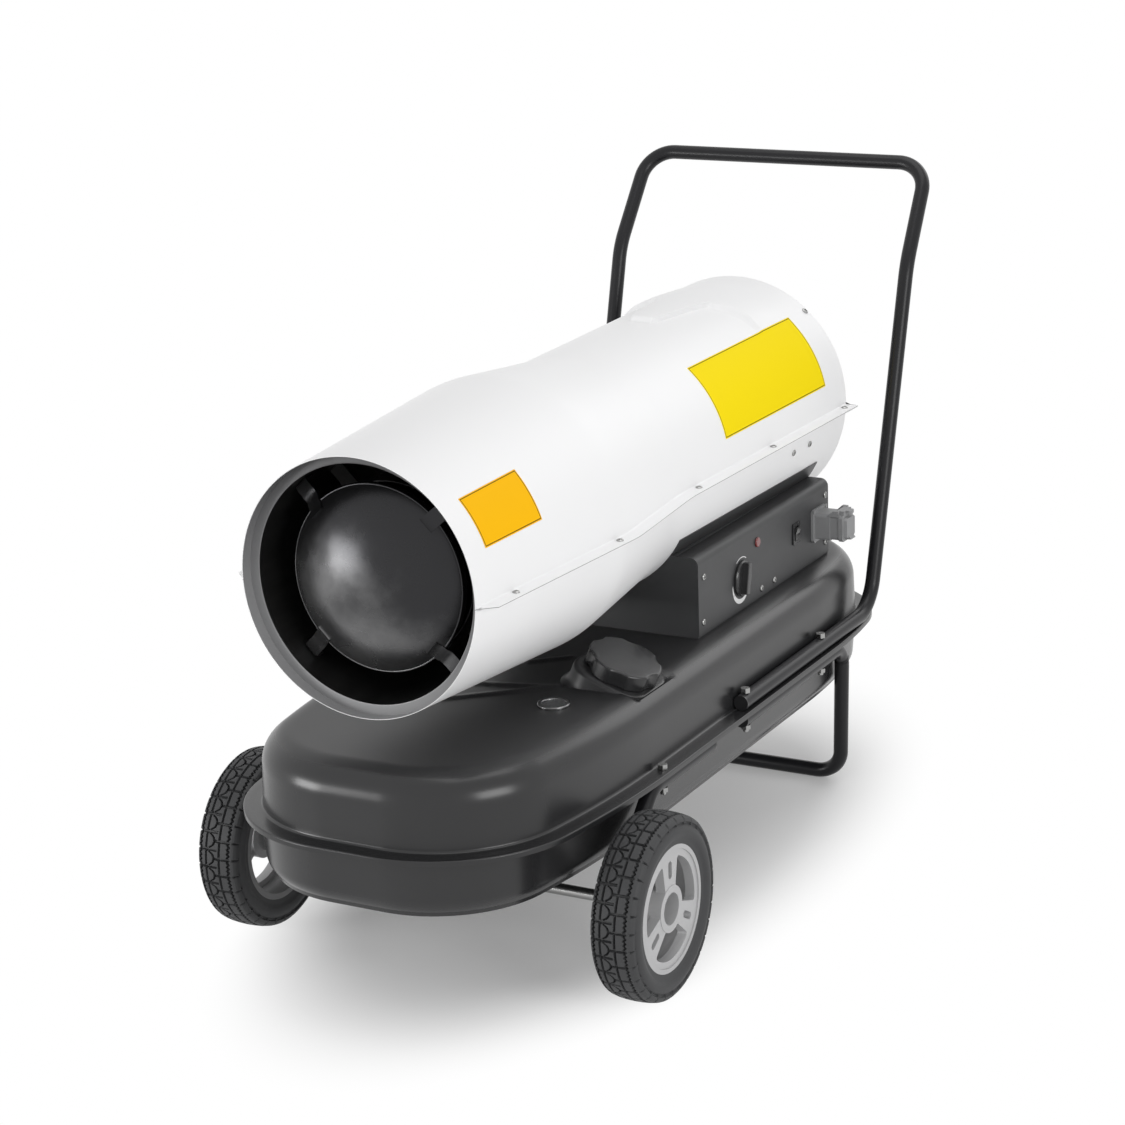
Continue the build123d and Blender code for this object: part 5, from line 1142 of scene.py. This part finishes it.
def dome_parts():
    """A cap of the sphere through its top and its edge, a bead rolled round the edge, and
    four straps that lap the face, stand off to the liner and turn along it."""
    big = (DOME_EDGE ** 2 + DOME_RISE ** 2) / (2 * DOME_RISE)
    middle = DOME_Y - DOME_RISE + big
    r = np.concatenate([[0.0], np.sin(np.linspace(0.02, np.pi / 2, 44)) * (DOME_EDGE - 2)])
    face = np.stack([middle - np.sqrt(big ** 2 - r ** 2), r], -1)
    bead = corner((DOME_Y + 0.6, DOME_EDGE - 1.4), 1.9, 215.0, 0.0, 9)
    back = [(DOME_Y + 10.0, DOME_EDGE - 0.2), (DOME_Y + 10.0, DOME_EDGE - 2.0),
            (DOME_Y + 1.8, DOME_EDGE - 2.2)]
    inner = face[::-1] + (1.8, 0.0)
    inner[:, 1] = np.minimum(inner[:, 1], DOME_EDGE - 3.0)
    parts = [turned(np.concatenate([face, bead, back, inner]), 144)]
    lap = middle - np.sqrt(big ** 2 - STRAP_LAP ** 2)
    for k in range(4):
        path = [(lap - 1.0, STRAP_LAP), (DOME_Y - 2.6, 122.0), (DOME_Y - 0.8, 128.5),
                (DOME_Y + 4.0, 134.0), (DOME_Y + 5.0, 142.0), (DOME_Y + 5.0, 156.0),
                (DOME_Y + 6.5, 160.3), (DOME_Y + 10.0, LINER_R - 1.0),
                (DOME_Y + 25.0, LINER_R - 1.0)]
        parts.append(ribbon(path, np.radians(45.0 + 90.0 * k), 22.0, 1.8))
    return parts


class HEATER_OT_burner(bpy.types.Operator):
    """Turn the liner and the chamber and dress the burner"""

    bl_idname = "heater.burner"
    bl_label = "Burner"

    def execute(self, context):
        front = barrel_r(np.array((-183.0, -181.8))) - WALL
        liner = [(-183.0, 159.5), (-183.2, 160.0), (-183.2, 161.0), (-183.0, front[0]),
                 (-181.8, front[1]), (-181.8, LINER_R + WALL), (350.0, LINER_R + WALL),
                 (350.0, LINER_R), (-170.0, LINER_R), (-178.0, LINER_R - 0.4),
                 (-181.8, 160.4), (-182.4, 159.5)]
        piece("liner_sheet", [turned(liner, 180, True)], "chassis", "liner_steel",
              "heat_steel", ["flame_liner"], flat=35.0)
        piece("dome_pressing", dome_parts(), "chassis", "dome_steel", "heat_steel",
              ["flame_dome"], flat=35.0)
        dressed_copy("chamber_brackets", "liner_steel", bevel=0.4)
        chamber = [(-110.0, CHAMBER_R - WALL)] + corner(
            (-108.6, CHAMBER_R), 1.6, 200.0, 90.0, 5) + [
            (330.0, CHAMBER_R), (330.0, CHAMBER_R - WALL)]
        piece("chamber_can", [turned(chamber, 140, True)], "chassis", "liner_steel",
              "heat_steel", ["combustion_chamber"], flat=35.0)
        for node in ("burner_head", "fuel_nozzle", "ignition_electrodes", "flame_sensor",
                     "fan", "motor_shaft", "motor_body", "motor_bracket", "air_pump",
                     "fuel_line", "air_line"):
            dressed_copy(node, bevel=0.4)
        return {"FINISHED"}


# ---- filler and gauge ----
class HEATER_OT_filler(bpy.types.Operator):
    """Mould the fuel cap and dress the filler and the gauge"""

    bl_idname = "heater.filler"
    bl_label = "Filler and gauge"

    def execute(self, context):
        dressed_copy("fuel_cap", bevel=1.2, flat=25.0, segments=3)
        for node in ("filler_neck", "filler_strainer", "fuel_cap_seal", "gauge_pointer",
                     "gauge_float"):
            dressed_copy(node, bevel=0.3)
        dressed_copy("gauge_bezel", bevel=0.5, segments=3)
        dressed_copy("gauge_lens", bevel=0.3)
        return {"FINISHED"}


# ---- control box ----
BOX_Y, BOX_Z = (405.0, 875.0), 478.0
KNOB = np.array((551.0, 408.0))
DIAL_R = 31.0


def cover_parts():
    """The side cover: a section of two lines and a fold, carried along the box."""
    edge, fold = 152.3, 12.0
    outer, inner = (np.array([(edge, BOX_Z - t)] + corner(
        (PANEL_X - fold, BOX_Z - fold), fold - t, 90.0, 0.0, 12)
        + [(PANEL_X - t, TOP_Z + 3.0)]) for t in (0.0, SHEET))
    ring = np.concatenate([outer, inner[::-1]])
    run = np.stack(np.broadcast_arrays(ring[:, 0], np.array(BOX_Y)[:, None], ring[:, 1]), -1)
    wall = np.stack([outer, inner])
    ends = [grid(np.stack([wall[..., 0], np.full(wall.shape[:2], k), wall[..., 1]], -1))
            for k in BOX_Y]
    return [grid(run, wrap_v=True)] + ends


def print_parts(a0, a1, r0, r1, n=40):
    """A patch of print on the panel about the knob, between two angles, from one radius
    function of 0 to 1 to another, 0.15 mm thick. Angles are degrees from the back, upwards."""
    t = np.linspace(0, 1, n)
    a = np.radians(a0 + (a1 - a0) * t)
    loop = []
    for r, x in ((r0, -0.1), (r0, 0.15), (r1, 0.15), (r1, -0.1)):
        rr = r(t)
        loop.append(np.stack([np.full(n, PANEL_X + x), KNOB[0] + rr * np.cos(a),
                              KNOB[1] + rr * np.sin(a)], -1))
    return capped(np.stack(loop, 1))


class HEATER_OT_controls(bpy.types.Operator):
    """Fold the cover, dress what it carries and print the dial"""

    bl_idname = "heater.controls"
    bl_label = "Control box"

    def execute(self, context):
        dressed_copy("pedestal", "box_paint", bevel=0.4)
        piece("cover_fold", cover_parts(), "chassis", "box_paint", "box_black",
              ["control_cover"], flat=30.0, bevel=0.3)
        for node in ("thermostat_body", "switch_bezel", "switch_rocker", "socket_pins",
                     "circuit_board", "ignition_transformer"):
            dressed_copy(node, bevel=0.4)
        for node, bevel in (("thermostat_knob", 0.8), ("pilot_lamp", 1.4),
                            ("inlet_socket", 1.0), ("socket_lid", 1.0)):
            dressed_copy(node, bevel=bevel, segments=3)
        wedge = print_parts(188.0, 318.0, lambda t: 0 * t + DIAL_R,
                            lambda t: DIAL_R + 0.7 + 6.4 * np.sin(np.pi * t))
        arc = print_parts(58.0, 122.0, lambda t: 0 * t + DIAL_R,
                          lambda t: 0 * t + DIAL_R + 1.3)
        dots = [print_parts(a - 1.3, a + 1.3, lambda t: 0 * t + DIAL_R + 1.0,
                            lambda t: 0 * t + DIAL_R + 4.0, 6) for a in (-36.0, 216.0)]
        piece("dial_marks", [wedge, arc] + dots, "chassis", "dial_print", "box_black",
              flat=20.0)
        return {"FINISHED"}


# ---- fasteners ----
MOTOR_R = 43.0
# along the box, and up from the tank's top
COVER_SCREWS = ((423.0, 88.0), (420.0, 21.0), (621.0, 14.0), (667.0, 14.0),
                (862.0, 97.0), (862.0, 21.0))


def head_parts(spots):
    """Pan heads with a cross recess. A square grid is bent to a disc, each point (u, v)
    going to (u sqrt(1 - v^2 / 2), v sqrt(1 - u^2 / 2)); the height is a low dome less the
    recess, and the outermost lines drop to the seat. The shank is a point turned round."""
    radius, high = 5.0, 2.6
    lines = np.array((0.0, 0.06, 0.13, 0.19, 0.3, 0.42, 0.5, 0.56, 0.64, 0.74, 0.83, 0.9,
                      0.96, 1.0))
    u = np.unique(np.concatenate([-lines, lines]))
    gu, gv = np.meshgrid(u, u, indexing="ij")
    x, y = gu * np.sqrt(1 - gv ** 2 / 2), gv * np.sqrt(1 - gu ** 2 / 2)
    far = np.hypot(x, y)
    dome = high * np.sqrt(np.clip(1 - (0.93 * far) ** 2.6, 0, 1))

    def arm(p, q):
        return (1 - ease(np.abs(p), 0.12, 0.2)) * (1 - ease(np.abs(q), 0.5, 0.65))

    cross = np.maximum(arm(x, y), arm(y, x))
    top = np.stack([x, y, dome - cross * 1.9], -1)
    head = np.pad(top, ((2, 2), (2, 2), (0, 0)), mode="edge")
    ring = np.maximum(*np.meshgrid(*[np.abs(np.arange(len(u) + 4) - len(u) / 2 - 1.5)] * 2))
    seat_line = ring > len(u) / 2
    head[seat_line, 2] = -0.05
    head[ring > len(u) / 2 + 1, :2] = 0.0
    head[..., :2] *= radius
    t = np.linspace(0, 2 * np.pi, 14, endpoint=False)
    shank = np.array([(0.0, -0.1), (2.2, -0.2), (2.2, -5.6), (1.4, -6.9), (0.0, -7.3)])
    stem = np.stack([shank[:, 0, None] * np.cos(t), shank[:, 0, None] * np.sin(t),
                     np.broadcast_to(shank[:, 1, None], (5, 14))], -1)
    out = []
    for k, (seat, axis) in enumerate(spots):
        axis = np.asarray(axis, float)
        side = np.cross(axis, (0.3, 0.9, 0.1) if abs(axis[2]) > 0.5 else (0.0, 0.1, 1.0))
        side /= np.linalg.norm(side)
        other = np.cross(axis, side)
        spin = 0.7 * k + 0.3
        a = side * np.cos(spin) + other * np.sin(spin)
        b = np.cross(axis, a)
        turn = np.stack([a, b, axis])
        out.append(grid(np.asarray(seat) + head @ turn))
        out.append(grid(np.asarray(seat) + stem @ turn, wrap_v=True))
    return out


def barrel_spots():
    """Seats and directions of the screws of the seams, the guard and the motor's plate."""
    spots = []
    for y in (-122.0, 133.0, 412.0, 660.0, 921.0):
        x = barrel_r(y) + 8.0
        spots += [((s * x, y, SEAM_Z + SEAM_T), (0.0, 0.0, 1.0)) for s in (1, -1)]
    places = [(a, 934.5) for a in (49.0, 131.0, 229.0, -49.0)]
    for y in (757.0, 815.0):
        a = np.degrees(np.arcsin((MOTOR_R - 4.0) / barrel_r(y)))
        places += [(-a, y), (180.0 + a, y)]
    for a, y in places:
        out = np.array((np.cos(np.radians(a)), 0.0, np.sin(np.radians(a))))
        spots.append((np.array((0.0, y, AXIS_Z)) + (barrel_r(y) + 0.2) * out, out))
    return spots


class HEATER_OT_screws(bpy.types.Operator):
    """Turn the cross headed screws of the barrel and the cover"""

    bl_idname = "heater.screws"
    bl_label = "Screws"

    def execute(self, context):
        piece("barrel_cross_screws", head_parts(barrel_spots()), "chassis", "zinc",
              "zinc_steel", ["barrel_screws"], flat=38.0)
        spots = [((PANEL_X, y, TOP_Z + up), (1.0, 0.0, 0.0)) for y, up in COVER_SCREWS]
        piece("cover_cross_screws", head_parts(spots), "chassis", "zinc", "zinc_steel",
              ["cover_screws"], flat=38.0)
        return {"FINISHED"}


# ---- plates ----
# from and to along the barrel, and from and to round it in degrees
PLATES = {"front_plate": (-158.0, -25.0, 20.0, 43.0),
          "rear_plate": (525.0, 876.0, 12.0, 50.0)}


def plate_parts(y0, y1, a0, a1):
    """A thin patch on the barrel between two places and two angles, and its UV map: its face
    lies 0.25 mm over the paint, and its rim goes down into it."""
    u, v = np.linspace(0, 1, 40), np.linspace(0, 1, 30)
    y = (y0 + (y1 - y0) * u)[None]
    a = np.radians(a0 + (a1 - a0) * v)[:, None]
    r = barrel_r(y) + shoulder(y, a) + 0.25
    face, under = barrel_points(y, r, a), barrel_points(y, r - 0.4, a)
    rim = np.stack([np.concatenate([p[0], p[1:, -1], p[-1, -2::-1], p[-2:0:-1, 0]])
                    for p in (face, under)], 1)
    uv = np.stack(np.meshgrid(u, v), -1).reshape(-1, 2)
    return [grid(face), grid(rim, wrap_u=True)], np.concatenate(
        [uv, np.zeros((2 * len(rim), 2))])


class HEATER_OT_plates(bpy.types.Operator):
    """Lay the two plain plates on the barrel"""

    bl_idname = "heater.plates"
    bl_label = "Plates"

    def execute(self, context):
        for name, place_on_barrel in PLATES.items():
            parts, uv = plate_parts(*place_on_barrel)
            piece(name, parts, "chassis", name, "barrel_white", flat=50.0, weld=0.0, uv=uv)
        return {"FINISHED"}


# ---- stage ----
LOOK_AT = (-12.05, 364.43, 462.09)
SHADOW_OVAL = (345.0, 740.0)
FLOOR_HALF, LAMPS_AIM = 30.0, (0.0, 0.0, 0.45)
# name: place in metres, width and height, watts
LAMPS = {"key": ((-2.3, -2.8, 0.65), (1.5, 1.0), 47.0),
         "fill": ((3.5, -1.6, 1.5), (2.0, 1.4), 50.0),
         "top": ((0.2, 0.4, 4.2), (3.0, 3.0), 48.0),
         "back": ((1.2, 3.6, 2.6), (2.6, 2.0), 20.0)}


class HEATER_OT_stage(bpy.types.Operator):
    """Set the camera, the floor and the soft lights"""

    bl_idname = "heater.stage"
    bl_label = "Stage"

    def execute(self, context):
        scene = context.scene
        s = sizes()
        a, e, ro = np.radians((s.camera_turn, s.camera_rise, s.camera_roll))
        back = np.array((np.sin(a) * np.cos(e), -np.cos(a) * np.cos(e), np.sin(e)))
        right = np.array((np.cos(a), np.sin(a), 0.0))
        up = np.cross(back, right)
        x = right * np.cos(ro) + up * np.sin(ro)
        y = up * np.cos(ro) - right * np.sin(ro)
        spot = place(LOOK_AT) + back * s.camera_away
        data = bpy.data.cameras.new("camera")
        data.lens, data.sensor_width = s.lens, 36.0
        data.clip_start, data.clip_end = 0.1, 50.0
        cam = bpy.data.objects.new("camera", data)
        scene.collection.objects.link(cam)
        cam.matrix_world = Matrix([(*row, p) for row, p in zip(np.stack([x, y, back], 1),
                                                               spot)] + [(0, 0, 0, 1)])
        scene.camera = cam
        scene.view_settings.view_transform = "Standard"
        self.floor(scene)
        self.lights(scene)
        return {"FINISHED"}

    def floor(self, scene):
        """A wide pale floor: it takes the heater's shadow in an oval about the middle and
        turns plain white to the camera, to gloss and to glass outside it."""
        mesh = bpy.data.meshes.new("floor")
        w = FLOOR_HALF
        mesh.from_pydata([(-w, -w, 0), (w, -w, 0), (w, w, 0), (-w, w, 0)], [],
                         [(0, 1, 2, 3)])
        obj = bpy.data.objects.new("floor", mesh)
        scene.collection.objects.link(obj)
        m = Finish("pale_floor", (0.93, 0.93, 0.93), 0.65)
        m.put("Specular IOR Level", 0.1)
        across, along = (m.axis(k) / half for k, half in zip("XY", SHADOW_OVAL))
        far = ((across * across + along * along) ** 0.5).step(0.72, 1.2)
        white = m.node("Emission", values={"Color": (1.0, 1.0, 1.0)})
        m.cover(white, (far * 0.84 + 0.16) * seen_by_eye(m.tree))
        mesh.materials.append(m.material)

    def lights(self, scene):
        """A white surround that lights softly, and four soft boxes."""
        world = bpy.data.worlds.new("studio")
        world.use_nodes = True
        tree = world.node_tree
        sky = tree.nodes["Background"]
        mix = tree.nodes.new("ShaderNodeMixShader")
        seen = tree.nodes.new("ShaderNodeBackground")
        for node, strength in ((sky, sizes().surround), (seen, 1.0)):
            node.inputs["Color"].default_value = (1, 1, 1, 1)
            node.inputs["Strength"].default_value = strength
        tree.links.new(seen_by_eye(tree).socket, mix.inputs["Fac"])
        tree.links.new(sky.outputs[0], mix.inputs[1])
        tree.links.new(seen.outputs[0], mix.inputs[2])
        tree.links.new(mix.outputs[0], tree.nodes["World Output"].inputs["Surface"])
        scene.world = world
        for name, (where, size, power) in LAMPS.items():
            data = bpy.data.lights.new(name, "AREA")
            data.shape, data.size, data.size_y = "RECTANGLE", *size
            data.energy = power
            lamp = bpy.data.objects.new(name, data)
            lamp.location = where
            lamp.rotation_mode = "QUATERNION"
            aim = Vector(LAMPS_AIM) - Vector(where)
            lamp.rotation_quaternion = aim.to_track_quat("-Z", "Y")
            scene.collection.objects.link(lamp)


class HEATER_PT_panel(bpy.types.Panel):
    """Lists the heater's pieces in the sidebar"""

    bl_idname = "HEATER_PT_panel"
    bl_label = "Forced air heater"
    bl_space_type = "VIEW_3D"
    bl_region_type = "UI"
    bl_category = "Heater"

    def draw(self, context):
        for op in STEPS:
            self.layout.operator(op.bl_idname)
        for group in (context.scene.heater_paint, context.scene.heater_sizes):
            for key in group.__annotations__:
                self.layout.prop(group, key)


STEPS = (HEATER_OT_stage, HEATER_OT_tank, HEATER_OT_barrel, HEATER_OT_tubes,
         HEATER_OT_wheels, HEATER_OT_burner, HEATER_OT_filler, HEATER_OT_controls,
         HEATER_OT_screws, HEATER_OT_plates)
CLASSES = (HeaterPaint, HeaterSizes, *STEPS, HEATER_PT_panel)


def register():
    for cls in CLASSES:
        bpy.utils.register_class(cls)
    bpy.types.Scene.heater_paint = PointerProperty(type=HeaterPaint)
    bpy.types.Scene.heater_sizes = PointerProperty(type=HeaterSizes)


def unregister():
    del bpy.types.Scene.heater_paint
    del bpy.types.Scene.heater_sizes
    for cls in reversed(CLASSES):
        bpy.utils.unregister_class(cls)


def main():
    register()
    for step in STEPS:
        group, name = step.bl_idname.split(".")
        getattr(getattr(bpy.ops, group), name)()


if __name__ == "__main__":
    main()
